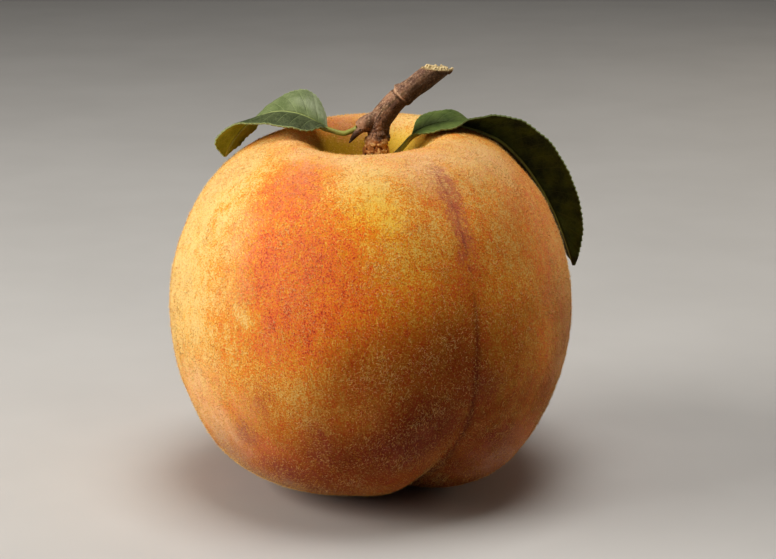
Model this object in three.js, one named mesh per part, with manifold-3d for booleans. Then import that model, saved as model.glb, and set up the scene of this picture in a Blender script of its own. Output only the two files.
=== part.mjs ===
// A ripe peach with the stub of twig that it hung from and two of the twig's leaves.
// Millimetres, +Z up. The origin is the middle of the small flat spot that the fruit rests on,
// and -Y is the front, a little to the left of the seam that runs down the fruit.

import * as THREE from "three";
import { mergeVertices } from "three/addons/utils/BufferGeometryUtils.js";
import Module from "manifold-3d";

// ---------------------------------------------------------------------------- driving dimensions

// Half section of the fruit as [radius, height]: floor of the stem hollow, its wall, the shoulder,
// the widest part, the underside and the flat spot.
const FRUIT_SECTION = [
  [0, 55.5],
  [3.2, 55.8],
  [5.7, 59.2],
  [8.9, 64.3],
  [13.9, 67.9],
  [19.4, 67.1],
  [25.9, 63.6],
  [33.1, 55.2],
  [37.7, 42.5],
  [38.1, 29.4],
  [34.9, 17.7],
  [29.1, 7.9],
  [19.8, 2.4],
  [9.5, 0],
  [0, 0],
];
const FRUIT_ROWS = 42; // facets from the hollow's floor to the flat spot
const FRUIT_COLUMNS = 64; // facets round the fruit
const FRUIT_LEAN = -0.4; // the widest part sits this far to the right of the stem's axis
const ROUND_FROM = 20; // radius where the seam and the lean reach their full size

// The seam: a shallow groove from the hollow to the base, deep in the underside.
// Angles are in degrees from the front, towards +X.
const SEAM = { angle: 29.3, depth: 0.6, baseDepth: 4.3, halfWidth: 11.7 };
const UNDERSIDE = { height: 14.2, fade: 4 }; // where the groove deepens, and over what height
// Low down, the seam is pulled up, the lobe right of it hangs and the front left of it lifts. These
// start at the edge of the flat spot and reach their full size over the next stretch of radius.
const LOBES_FROM = 6;
const LOBES_OVER = 12;
const LOBES = [
  { angle: 0, halfWidth: 17.2, lift: 2.0 },
  { angle: 28.6, halfWidth: 8.6, lift: -0.7 },
  { angle: -34.4, halfWidth: 21.8, lift: 0.8 },
];
// The shoulder round the hollow is higher at the back and on the right.
const SHOULDER = { radius: 18, halfWidth: 10, fromHeight: 45, fade: 15, right: 0.52, back: 1.1 };

// The twig as [x, y, z, radius]: its foot in the hollow's floor, the corky collar, the neck, the ring
// scar of a year's growth, and the stretch past it up to where it broke.
const TWIG_ROUTE = [
  [0, 0, 53.6, 2.0],
  [0, 0, 56.2, 2.2],
  [0.1, 0, 60.0, 2.3],
  [0.4, 0, 64.0, 2.35],
  [0.9, 0.1, 66.9, 2.0],
  [1.3, 0.3, 68.6, 1.85],
  [1.6, 0.6, 70.8, 2.1],
  [3.3, 1.1, 73.1, 2.05],
  [4.9, 1.4, 74.7, 2.0],
  [5.8, 1.5, 75.4, 2.3],
  [6.7, 1.7, 76.0, 2.05],
  [9.8, 2.1, 78.3, 2.05],
  [11.3, 2.3, 79.5, 2.1],
];
const TWIG_SIDES = 14;
const TWIG_STEPS = 44;
// The twig broke along a plane that falls a little to the right, with torn fibres above and below.
const BREAK = { at: [12.4, 2.45, 80.15], normal: [0.12, 0, 0.993], fibre: 0.45 };
const CORK = { from: 57, to: 67, ridge: 0.22, pitch: 1.5 }; // rings of corky scales round the collar
// The hollow's floor holds the twig's foot in a plain socket.
const SOCKET = { radius: 2.6, floor: 53.2, mouth: 58 };

// The spur on the twig's left that carries a leaf, and the bud under it, as [x, y, z, radius].
const SPUR_ROUTE = [
  [2.3, 0.7, 71.9, 1.2],
  [0.4, 0.3, 70.9, 1.5],
  [-1.4, 0.1, 70.0, 1.5],
  [-2.7, 0.0, 69.3, 1.05],
];
const BUD_ROUTE = [
  [-1.6, -0.5, 69.5, 0.75],
  [-2.9, -0.8, 68.5, 0.65],
  [-3.7, -0.9, 67.5, 0.45],
  [-4.4, -1.0, 66.6, 0.12],
];
const SPUR_SIDES = 10;
const SPUR_STEPS = 6;

// A leaf is lofted through ribs. Each gives a point of the midrib, and from there the offsets of the
// near and the far edge. The narrow ribs at the start are its stalk.
const STALK = 0.45; // half the width of a stalk
const stalkRib = (x, y, z) => ({ at: [x, y, z], near: [0, -STALK, 0], far: [0, STALK, 0] });
const LEFT_LEAF = {
  ribs: [
    stalkRib(-4.2, 0.2, 68.9),
    stalkRib(-5.7, 0.6, 68.3),
    stalkRib(-8.4, 1.6, 68.9),
    { at: [-10.3, 2.3, 69.9], near: [0.6, -2.8, -0.7], far: [1.4, 2.7, 1.4] },
    { at: [-12.3, 3.0, 70.8], near: [0.3, -5.0, -1.7], far: [1.3, 5.5, 3.2] },
    { at: [-14.5, 3.8, 71.4], near: [0.2, -6.6, -1.9], far: [0.8, 6.0, 3.6] },
    { at: [-17.6, 4.7, 71.6], near: [0.4, -6.9, -1.6], far: [0.0, 6.3, 1.6] },
    { at: [-20.7, 5.6, 70.8], near: [-0.1, -6.4, -0.7], far: [0.3, 5.9, 0.5] },
    { at: [-23.9, 6.2, 69.1], near: [-1.3, -4.7, 0.7], far: [1.4, 4.8, -1.8] },
    { at: [-26.3, 6.5, 66.4], near: [-2.7, -3.2, 1.3], far: [1.8, 3.5, -1.2] },
    { at: [-27.6, 6.6, 64.2], near: [-2.5, -2.1, 0.9], far: [1.3, 2.3, -0.5] },
    { at: [-28.4, 6.5, 62.5], near: [-0.2, -0.3, 0.0], far: [0.2, 0.3, 0.0] },
  ],
  bladeFrom: 2, // the rib where the stalk ends and the blade starts
  steps: 50,
  ribSide: -1, // the side of the blade, along its normals, that the midrib stands out on
};
const RIGHT_LEAF = {
  ribs: [
    stalkRib(3.4, 1.2, 63.4),
    stalkRib(5.3, 2.0, 65.0),
    stalkRib(7.4, 2.5, 67.3),
    { at: [9.1, 3.0, 68.5], near: [-0.2, -2.8, -0.4], far: [-0.5, 4.0, 1.0] },
    { at: [11.6, 3.6, 69.3], near: [0.2, -5.6, -0.4], far: [0.0, 6.0, 1.4] },
    { at: [14.9, 4.6, 69.6], near: [0.5, -6.2, 0.0], far: [1.0, 6.4, 0.8] },
    { at: [18.2, 6.2, 68.9], near: [0.5, -5.6, 2.0], far: [0.9, 5.8, -1.6] },
    { at: [21.6, 8.0, 67.3], near: [1.4, -4.8, 3.8], far: [0.2, 5.0, -2.2] },
    { at: [25.3, 9.4, 64.8], near: [3.0, -3.6, 5.0], far: [-0.3, 5.2, -3.0] },
    { at: [29.5, 10.6, 60.4], near: [4.6, -3.0, 4.8], far: [-0.9, 5.6, -3.2] },
    { at: [32.8, 11.4, 55.6], near: [5.2, -2.6, 3.4], far: [-1.2, 6.4, -2.6] },
    { at: [35.5, 11.9, 50.6], near: [5.0, -2.0, 1.5], far: [-1.0, 6.8, -1.9] },
    { at: [37.4, 12.2, 46.0], near: [3.8, -1.5, 0.3], far: [-0.7, 6.0, -1.5] },
    { at: [38.8, 12.4, 42.0], near: [1.7, -0.9, -0.3], far: [-0.4, 3.8, -1.0] },
    { at: [39.6, 12.5, 39.4], near: [0.2, -0.3, 0.0], far: [-0.2, 0.3, 0.0] },
  ],
  bladeFrom: 2,
  steps: 84,
  ribSide: 1,
};
const BLADE_THICKNESS = 0.6;
const STALK_THICKNESS = 0.9;
const MIDRIB_THICKNESS = 0.35; // added under the blade along the midrib
const BLADE_ARCH = 0.05; // each half bows up by this share of its width
const TOOTH = 0.35; // depth of the saw teeth along a leaf's edge
// Places across a leaf, from the near edge at -1 over the midrib at 0 to the far edge at 1.
const ACROSS = [-1, -0.55, -0.12, 0, 0.12, 0.55, 1];

// ------------------------------------------------------------------------------ shared geometry

const wasm = await Module();
wasm.setup();

const bump = (distance, halfWidth) => Math.exp(-((distance / halfWidth) ** 2));
const clamp = THREE.MathUtils.clamp;
const radians = THREE.MathUtils.degToRad;

/** A smooth curve through points given as [x, y, z, ...]. */
function curveThrough(points) {
  const vectors = points.map(([x, y, z]) => new THREE.Vector3(x, y, z));
  return new THREE.CatmullRomCurve3(vectors, false, "catmullrom", 0.5);
}

/** A closed skin over rings of points that all have the same count, capped at both ends. */
function skin(rings, cap) {
  const sides = rings[0].length;
  const points = rings.flat();
  const faces = [];
  for (let row = 0; row < rings.length - 1; row++) {
    for (let side = 0; side < sides; side++) {
      const a = row * sides + side;
      const b = row * sides + ((side + 1) % sides);
      faces.push([a, b, a + sides], [b, b + sides, a + sides]);
    }
  }
  const first = points.push(cap.first) - 1;
  const last = points.push(cap.last) - 1;
  const lastRing = (rings.length - 1) * sides;
  for (let side = 0; side < sides; side++) {
    const next = (side + 1) % sides;
    faces.push([first, next, side], [last, lastRing + side, lastRing + next]);
  }
  return geometryOf(points, faces);
}

function geometryOf(points, faces) {
  const geometry = new THREE.BufferGeometry().setFromPoints(points);
  geometry.setIndex(faces.flat());
  return geometry;
}

function solidOf(geometry) {
  const bare = geometry.clone();
  bare.deleteAttribute("normal");
  bare.deleteAttribute("uv");
  const merged = mergeVertices(bare, 1e-4);
  return new wasm.Manifold(
    new wasm.Mesh({
      numProp: 3,
      vertProperties: merged.attributes.position.array,
      triVerts: new Uint32Array(merged.index.array),
    }),
  );
}

function geometryFromSolid(solid) {
  const { vertProperties, triVerts } = solid.getMesh();
  const geometry = new THREE.BufferGeometry();
  geometry.setAttribute("position", new THREE.BufferAttribute(vertProperties, 3));
  geometry.setIndex(new THREE.BufferAttribute(triVerts, 1));
  return geometry;
}

function pieceOf(name, geometry, color, roughness) {
  geometry.computeVertexNormals();
  const material = new THREE.MeshStandardMaterial({ color, roughness, metalness: 0 });
  const mesh = new THREE.Mesh(geometry, material);
  mesh.name = name;
  return mesh;
}

// ---------------------------------------------------------------------------------------- fruit

const fruitSection = curveThrough(FRUIT_SECTION.map(([radius, height]) => [radius, 0, height]));

/** The point of the fruit's skin at a share of the way down its section and an angle round it. */
function fruitPoint(down, angle) {
  const { x: radius, z: height } = fruitSection.getPoint(down);
  const round = clamp(radius / ROUND_FROM, 0, 1);
  const low = 1 / (1 + Math.exp((height - UNDERSIDE.height) / UNDERSIDE.fade));
  const fromSeam = THREE.MathUtils.euclideanModulo(angle - SEAM.angle + 180, 360) - 180;

  const groove = (SEAM.depth + SEAM.baseDepth * low) * bump(fromSeam, SEAM.halfWidth);
  const outer = Math.max(0, radius - round * groove);
  const lobe = LOBES.reduce(
    (sum, { angle: at, halfWidth, lift }) => sum + lift * bump(fromSeam - at, halfWidth),
    0,
  );
  const shoulder =
    bump(radius - SHOULDER.radius, SHOULDER.halfWidth) *
    clamp((height - SHOULDER.fromHeight) / SHOULDER.fade, 0, 1);
  const sine = Math.sin(radians(angle));
  const cosine = Math.cos(radians(angle));
  const offFlat = clamp((radius - LOBES_FROM) / LOBES_OVER, 0, 1);
  const raised =
    offFlat * low * lobe + shoulder * (SHOULDER.right * sine - SHOULDER.back * cosine);
  return new THREE.Vector3(
    outer * sine + round * FRUIT_LEAN,
    -outer * cosine,
    Math.max(0, height + raised),
  );
}

function makeFruit() {
  const rings = [];
  for (let row = 1; row < FRUIT_ROWS; row++) {
    const ring = [];
    for (let column = 0; column < FRUIT_COLUMNS; column++) {
      ring.push(fruitPoint(row / FRUIT_ROWS, SEAM.angle + (360 * column) / FRUIT_COLUMNS));
    }
    rings.push(ring.reverse());
  }
  const flesh = skin(rings, { first: fruitPoint(0, 0), last: fruitPoint(1, 0) });

  const depth = SOCKET.mouth - SOCKET.floor;
  const socket = new THREE.CylinderGeometry(SOCKET.radius, SOCKET.radius, depth, 24);
  socket.rotateX(Math.PI / 2);
  socket.translate(0, 0, SOCKET.floor + depth / 2);
  const fruit = solidOf(flesh).subtract(solidOf(socket));
  return pieceOf("fruit", geometryFromSolid(fruit), 0xe3a13c, 0.75);
}

// ----------------------------------------------------------------------------------------- twig

/** A tapered stick along a route of [x, y, z, radius]; swell adds to the radius at each place. */
function stick(route, sides, steps, swell = () => 0) {
  const path = curveThrough(route);
  const radiusPath = curveThrough(route.map(([, , , radius]) => [radius, 0, 0]));
  const frames = path.computeFrenetFrames(steps, false);
  const rings = [];
  for (let step = 0; step <= steps; step++) {
    const share = step / steps;
    // Frenet frames are spaced by length along the path, and so is each ring.
    const along = path.getUtoTmapping(share);
    const centre = path.getPoint(along);
    const ring = [];
    for (let side = 0; side < sides; side++) {
      const turn = (2 * Math.PI * side) / sides;
      const radius = radiusPath.getPoint(along).x + swell(centre, turn);
      ring.push(
        centre
          .clone()
          .addScaledVector(frames.normals[step], radius * Math.cos(turn))
          .addScaledVector(frames.binormals[step], radius * Math.sin(turn)),
      );
    }
    rings.push(ring);
  }
  return { rings, first: path.getPoint(0), last: path.getPoint(1), heading: path.getTangent(1) };
}

/** Corky scales: rings of low ridges round the twig's collar, out of step with each other. */
function corkSwell(centre, turn) {
  if (centre.z < CORK.from || centre.z > CORK.to) return 0;
  const wave = Math.sin((2 * Math.PI * centre.z) / CORK.pitch + 3 * turn);
  return CORK.ridge * wave * Math.cos(2 * turn + centre.z);
}

/** Slides each point of the twig's last ring along its heading to the torn break. */
function tearEnd({ rings, last, heading }) {
  const normal = new THREE.Vector3(...BREAK.normal);
  const middle = new THREE.Vector3(...BREAK.at);
  const toBreak = (point, fibre) => {
    const short = middle.clone().sub(point).dot(normal) + fibre * BREAK.fibre;
    return point.clone().addScaledVector(heading, short / heading.dot(normal));
  };
  const rim = rings[rings.length - 1];
  rings[rings.length - 1] = rim.map((point, side) => toBreak(point, side % 2 ? 1 : -0.6));
  const inner = rim.map((point, side) =>
    toBreak(point.clone().lerp(last, 0.45), side % 2 ? -0.8 : 0.9),
  );
  rings.push(inner);
  return toBreak(last, 0.2);
}

function makeTwig() {
  const main = stick(TWIG_ROUTE, TWIG_SIDES, TWIG_STEPS, corkSwell);
  const tornMiddle = tearEnd(main);
  const twig = skin(main.rings, { first: main.first, last: tornMiddle });
  const spur = stick(SPUR_ROUTE, SPUR_SIDES, SPUR_STEPS);
  const bud = stick(BUD_ROUTE, SPUR_SIDES, SPUR_STEPS);
  const joined = solidOf(twig).add(solidOf(skin(spur.rings, spur))).add(solidOf(skin(bud.rings, bud)));
  return pieceOf("twig", geometryFromSolid(joined), 0x8a6a55, 0.85);
}

// --------------------------------------------------------------------------------------- leaves

/** The middle surface of a leaf as rows of points from its stalk to its tip. */
function leafRows({ ribs, bladeFrom, steps }) {
  const midrib = curveThrough(ribs.map(({ at }) => at));
  const near = curveThrough(ribs.map((rib) => rib.near));
  const far = curveThrough(ribs.map((rib) => rib.far));
  const bladeStart = bladeFrom / (ribs.length - 1);
  const rows = [];
  for (let step = 0; step <= steps; step++) {
    const along = step / steps;
    const middle = midrib.getPoint(along);
    const heading = midrib.getTangent(along);
    const onBlade = along > bladeStart && step < steps;
    rows.push(
      ACROSS.map((place) => {
        const edge = (place < 0 ? near : far).getPoint(along);
        const width = edge.length();
        const up = new THREE.Vector3().crossVectors(heading, edge).normalize();
        if (place > 0) up.negate();
        const reach = Math.abs(place);
        const notch = onBlade && reach === 1 && step % 2 ? Math.min(TOOTH, width / 4) / width : 0;
        const arch = onBlade ? BLADE_ARCH * width * 4 * reach * (1 - reach) : 0;
        return middle
          .clone()
          .addScaledVector(edge, reach - notch)
          .addScaledVector(up, arch);
      }),
    );
  }
  return { rows, bladeStart };
}

/** Unit normals of a grid of points, from the directions of its rows and columns. */
function gridNormals(rows) {
  const at = (row, column) =>
    rows[clamp(row, 0, rows.length - 1)][clamp(column, 0, rows[0].length - 1)];
  return rows.map((points, row) =>
    points.map((_, column) => {
      const along = at(row + 1, column).clone().sub(at(row - 1, column));
      const across = at(row, column + 1).clone().sub(at(row, column - 1));
      return across.cross(along).normalize();
    }),
  );
}

function makeLeaf(name, leaf, color) {
  const { ribSide } = leaf;
  const { rows, bladeStart } = leafRows(leaf);
  const normals = gridNormals(rows);
  const columns = ACROSS.length;
  const count = rows.length * columns;
  const upper = [];
  const lower = [];
  rows.forEach((points, row) => {
    const along = row / (rows.length - 1);
    const stalk = along <= bladeStart;
    points.forEach((point, column) => {
      const rib = ACROSS[column] === 0 && !stalk ? MIDRIB_THICKNESS * (1 - along) : 0;
      const edge = Math.abs(ACROSS[column]) === 1;
      const full = stalk && !edge ? STALK_THICKNESS : BLADE_THICKNESS;
      const normal = normals[row][column];
      const above = full / 2 + (ribSide > 0 ? rib : 0);
      const below = full / 2 + (ribSide < 0 ? rib : 0);
      upper.push(point.clone().addScaledVector(normal, above));
      lower.push(point.clone().addScaledVector(normal, -below));
    });
  });
  const faces = [];
  // Both faces split each cell along the same diagonal, so that a waved blade never meets itself.
  for (let row = 0; row < rows.length - 1; row++) {
    for (let column = 0; column < columns - 1; column++) {
      const a = row * columns + column;
      const b = a + 1;
      const c = a + columns;
      const d = c + 1;
      faces.push([a, b, c], [b, d, c]);
      faces.push([count + a, count + c, count + b], [count + b, count + c, count + d]);
    }
    for (const [column, flip] of [[0, true], [columns - 1, false]]) {
      const a = row * columns + column;
      const c = a + columns;
      const wall = [[a, count + a, c], [c, count + a, count + c]];
      faces.push(...wall.map(([p, q, r]) => (flip ? [p, r, q] : [p, q, r])));
    }
  }
  for (let column = 0; column < columns - 1; column++) {
    const end = (rows.length - 1) * columns + column;
    faces.push([column, count + column, column + 1], [column + 1, count + column, count + column + 1]);
    faces.push([end, end + 1, count + end], [end + 1, count + end + 1, count + end]);
  }
  return pieceOf(name, geometryOf([...upper, ...lower], faces), color, 0.55);
}

// ------------------------------------------------------------------------------------- assembly

const group = new THREE.Group();
group.add(
  makeFruit(),
  makeTwig(),
  makeLeaf("leaf_left", LEFT_LEAF, 0x5f7d3a),
  makeLeaf("leaf_right", RIGHT_LEAF, 0x3f5c26),
);

export default group;
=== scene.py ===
"""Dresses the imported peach: downy skin, bark, two leaves and the down itself, in a plain studio.

Lengths are given in millimetres and turned into metres where a mesh is made. The front is -Y.
"""

from __future__ import annotations

import logging
import math
from dataclasses import dataclass
from enum import Enum
from typing import Callable, Sequence, Union

import bpy
import numpy as np
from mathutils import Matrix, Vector, noise


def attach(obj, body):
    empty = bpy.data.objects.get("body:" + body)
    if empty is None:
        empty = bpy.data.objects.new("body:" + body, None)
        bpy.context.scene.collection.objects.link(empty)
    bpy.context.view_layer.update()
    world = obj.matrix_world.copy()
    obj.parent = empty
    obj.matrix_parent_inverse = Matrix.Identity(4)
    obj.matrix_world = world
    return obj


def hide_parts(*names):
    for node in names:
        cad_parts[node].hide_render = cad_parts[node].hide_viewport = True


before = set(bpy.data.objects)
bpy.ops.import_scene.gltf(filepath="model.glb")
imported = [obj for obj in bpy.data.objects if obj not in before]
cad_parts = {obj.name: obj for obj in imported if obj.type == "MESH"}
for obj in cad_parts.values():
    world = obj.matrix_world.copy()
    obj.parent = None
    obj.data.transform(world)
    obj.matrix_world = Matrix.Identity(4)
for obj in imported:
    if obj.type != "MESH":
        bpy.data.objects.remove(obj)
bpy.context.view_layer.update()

LOG = logging.getLogger("peach")
MM = 0.001
SEAM_ANGLE = 29.3  # degrees from the front towards the right
TWIG_RADIUS = 2.1  # millimetres round the twig are measured at this radius

Pair = tuple[float, float]
Row = tuple[float, ...]
Colour = tuple[float, float, float]
Piece = bpy.types.Object
Finish = bpy.types.Material
Socket = bpy.types.NodeSocket
Value = Union[Socket, float, Row]


# -------- curves and noise


class Route:
    """A smooth curve through rows of numbers, which it passes one after another."""

    SAMPLES = 600
    NUDGE = 1e-4

    def __init__(self, rows: Sequence[Row]) -> None:
        """Takes the rows.

        Args:
            rows: The places and whatever else is carried along the curve, such as a radius.
        """
        inner = np.array(rows, dtype=float)
        before = 2 * inner[0] - inner[1]
        after = 2 * inner[-1] - inner[-2]
        self.rows = np.vstack([before, inner, after])
        self.spans = len(inner) - 1

    def _weights(self, share: np.ndarray) -> tuple[np.ndarray, np.ndarray]:
        """The span that each share falls in, and how far it is through that span."""
        place = np.clip(share, 0, 1) * self.spans
        span = np.minimum(place.astype(int), self.spans - 1)
        return span, (place - span)[..., None]

    def at(self, share: np.ndarray) -> np.ndarray:
        """The rows at shares of the way along.

        Args:
            share: Places along the curve, from 0 to 1.

        Returns:
            One row for each share.
        """
        span, t = self._weights(np.asarray(share, dtype=float))
        a, b, c, d = (self.rows[span + step] for step in range(4))
        return 0.5 * (
            2 * b + (c - a) * t + (2 * a - 5 * b + 4 * c - d) * t**2 + (3 * b - a - 3 * c + d) * t**3
        )

    def heading(self, share: np.ndarray) -> np.ndarray:
        """Unit directions of the first three numbers at shares of the way along.

        Args:
            share: Places along the curve, from 0 to 1.

        Returns:
            One unit vector for each share.
        """
        share = np.asarray(share, dtype=float)
        ahead = self.at(np.minimum(share + self.NUDGE, 1))[..., :3]
        back = self.at(np.maximum(share - self.NUDGE, 0))[..., :3]
        return unit(ahead - back)

    def length_to(self, share: np.ndarray) -> np.ndarray:
        """Distances along the first three numbers up to each share."""
        steps = np.linspace(0, 1, self.SAMPLES)
        return np.interp(share, steps, distances(self.at(steps)[:, :3]))


def distances(points: np.ndarray) -> np.ndarray:
    """How far each of a row of points is from the first, along the row."""
    return np.concatenate([[0], np.cumsum(np.linalg.norm(np.diff(points, axis=0), axis=1))])


def unit(vectors: np.ndarray) -> np.ndarray:
    """The vectors at length 1."""
    length = np.linalg.norm(vectors, axis=-1, keepdims=True)
    return vectors / np.maximum(length, 1e-12)


def bump(distance: np.ndarray, half_width: float) -> np.ndarray:
    """A soft hump, 1 at no distance."""
    return np.exp(-((distance / half_width) ** 2))


def smooth(value: np.ndarray, low: float, high: float) -> np.ndarray:
    """0 at low, 1 at high, with soft ends."""
    t = np.clip((value - low) / (high - low), 0, 1)
    return t * t * (3 - 2 * t)


def as_stick(ball: np.ndarray, cap: float) -> tuple[np.ndarray, np.ndarray, np.ndarray]:
    """Reads the points of a ball as those of a stick, whose first and last rows close its ends.

    Args:
        ball: Points of a ball of radius 1.
        cap: The share of the rows that closes each end.

    Returns:
        For each point, the share of the way along, the turn round it, and the share of the
        stick's radius that it stands out.
    """
    share = 1 - np.arccos(np.clip(ball[:, 2], -1, 1)) / math.pi
    turn = np.arctan2(ball[:, 1], ball[:, 0])
    along = np.clip((share - cap) / (1 - 2 * cap), 0, 1)
    closing = np.minimum(np.clip(share / cap, 0, 1), np.clip((1 - share) / cap, 0, 1))
    return along, turn, np.sin(closing * math.pi / 2)


def rough(points: np.ndarray, grain: float, seed: int = 0, octaves: int = 1) -> np.ndarray:
    """Smooth noise between about -1 and 1.

    Args:
        points: Places in millimetres.
        grain: Size of the noise's lumps in millimetres.
        seed: Picks another stretch of the same noise.
        octaves: How many ever finer layers are added.

    Returns:
        One number for each place.
    """
    shift = Vector((seed * 17.3, seed * 5.9, seed * 11.1))
    total = np.zeros(len(points))
    for octave in range(octaves):
        scale = 2**octave / grain
        values = (noise.noise(Vector(p) * scale + shift) for p in points)
        total += np.fromiter(values, float, len(points)) / 2**octave
    return total


# -------- workbench


class Bench:
    """Shapes one mesh object at a time with Blender's own operators."""

    @staticmethod
    def clear() -> None:
        """Deselects everything, the loaded solids among it."""
        bpy.ops.object.select_all(action="DESELECT")

    @staticmethod
    def pick(piece: Piece) -> None:
        """Makes a piece the only one selected, and active."""
        Bench.clear()
        piece.select_set(True)
        bpy.context.view_layer.objects.active = piece

    @staticmethod
    def named(name: str) -> Piece:
        """The new primitive, under its own name."""
        piece = bpy.context.object
        piece.name = name
        piece.data.name = name
        return piece

    @staticmethod
    def ball(name: str, columns: int, rows: int) -> Piece:
        """A ball of radius 1, whose rows and columns are then placed by a formula."""
        Bench.clear()
        bpy.ops.mesh.primitive_uv_sphere_add(segments=columns, ring_count=rows, radius=1)
        return Bench.named(name)

    @staticmethod
    def sheet(name: str, along: int, across: int) -> Piece:
        """A flat sheet from -1 to 1, whose points are then placed by a formula."""
        Bench.clear()
        bpy.ops.mesh.primitive_grid_add(x_subdivisions=along, y_subdivisions=across, size=2)
        return Bench.named(name)

    @staticmethod
    def points(piece: Piece) -> np.ndarray:
        """The piece's points as stored."""
        flat = np.empty(len(piece.data.vertices) * 3)
        piece.data.vertices.foreach_get("co", flat)
        return flat.reshape(-1, 3)

    @staticmethod
    def normals(piece: Piece) -> np.ndarray:
        """The unit normals at the piece's points."""
        flat = np.empty(len(piece.data.vertices) * 3)
        piece.data.vertices.foreach_get("normal", flat)
        return flat.reshape(-1, 3)

    @staticmethod
    def place(piece: Piece, points: np.ndarray) -> None:
        """Moves the piece's points to the given places in metres."""
        piece.data.vertices.foreach_set("co", points.reshape(-1))
        piece.data.update()

    @staticmethod
    def mark(piece: Piece, name: str, vectors: np.ndarray) -> None:
        """Stores a vector on each point, for a finish to read.

        Args:
            piece: The piece.
            name: Name of the attribute.
            vectors: One vector for each point.
        """
        attribute = piece.data.attributes.new(name, "FLOAT_VECTOR", "POINT")
        attribute.data.foreach_set("vector", np.ascontiguousarray(vectors, dtype=float).reshape(-1))

    @staticmethod
    def edit(piece: Piece, *steps: Callable[[], object]) -> None:
        """Runs edit operators on all of a piece."""
        Bench.pick(piece)
        bpy.ops.object.mode_set(mode="EDIT")
        bpy.ops.mesh.select_all(action="SELECT")
        for step in steps:
            step()
        bpy.ops.object.mode_set(mode="OBJECT")

    @staticmethod
    def modify(piece: Piece, kind: str, **settings: object) -> None:
        """Adds a modifier with its settings, and applies it."""
        Bench.pick(piece)
        modifier = piece.modifiers.new(kind.lower(), kind)
        for name, value in settings.items():
            setattr(modifier, name, value)
        bpy.ops.object.modifier_apply(modifier=modifier.name)

    @staticmethod
    def dress(piece: Piece, *finishes: Finish) -> None:
        """Gives a piece its finishes, in the order of its slots."""
        piece.data.materials.clear()
        for finish in finishes:
            piece.data.materials.append(finish)

    @staticmethod
    def join(pieces: Sequence[Piece]) -> Piece:
        """Joins pieces into the first one."""
        Bench.pick(pieces[0])
        for piece in pieces[1:]:
            piece.select_set(True)
        bpy.ops.object.join()
        return pieces[0]

    @staticmethod
    def soften(piece: Piece, degrees: float) -> None:
        """Shades a piece smooth, with sharp edges kept past an angle."""
        Bench.pick(piece)
        bpy.ops.object.shade_smooth_by_angle(angle=math.radians(degrees))

    @staticmethod
    def outward(piece: Piece) -> None:
        """Merges doubles and turns every face outwards."""
        Bench.edit(
            piece,
            lambda: bpy.ops.mesh.remove_doubles(threshold=1e-7),
            lambda: bpy.ops.mesh.normals_make_consistent(inside=False),
        )

    @staticmethod
    def copies(
        name: str, pattern: Piece, places: np.ndarray, frames: np.ndarray
    ) -> Piece:
        """One mesh that holds a copy of a small pattern at each place.

        Args:
            name: Name of the new piece.
            pattern: The shape that is modelled once. It is removed afterwards.
            places: Where each copy's origin goes, in metres.
            frames: For each copy, the vectors that its X, Y and Z become, in metres.

        Returns:
            The piece that holds all the copies.
        """
        shape = Bench.points(pattern)
        faces = [tuple(face.vertices) for face in pattern.data.polygons]
        corners = np.einsum("pk,nkj->npj", shape, frames) + places[:, None, :]
        starts = np.arange(len(places)) * len(shape)
        mesh = bpy.data.meshes.new(name)
        sizes = [len(face) for face in faces]
        flat = np.concatenate([np.array(face) for face in faces])
        loops = (starts[:, None] + flat[None, :]).reshape(-1)
        mesh.vertices.add(corners.shape[0] * corners.shape[1])
        mesh.vertices.foreach_set("co", corners.reshape(-1))
        mesh.loops.add(len(loops))
        mesh.loops.foreach_set("vertex_index", loops)
        totals = np.tile(sizes, len(places))
        mesh.polygons.add(len(totals))
        mesh.polygons.foreach_set("loop_start", np.concatenate([[0], np.cumsum(totals)[:-1]]))
        mesh.update(calc_edges=True)
        mesh.validate()
        bpy.data.objects.remove(pattern)
        piece = bpy.data.objects.new(name, mesh)
        bpy.context.scene.collection.objects.link(piece)
        return piece


def hand_over(piece: Piece, slot: str, *nodes: str) -> None:
    """Tells the frame what a piece is.

    Args:
        piece: The finished piece.
        slot: The record's material slot, which is only logged.
        nodes: The solids that it stands for.
    """
    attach(piece, "root")
    if nodes:
        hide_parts(*nodes)
    faces = sum(len(face.vertices) - 2 for face in piece.data.polygons)
    LOG.info("%s: %d triangles, slot %s", piece.name, faces, slot)


# -------- node boards


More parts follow.
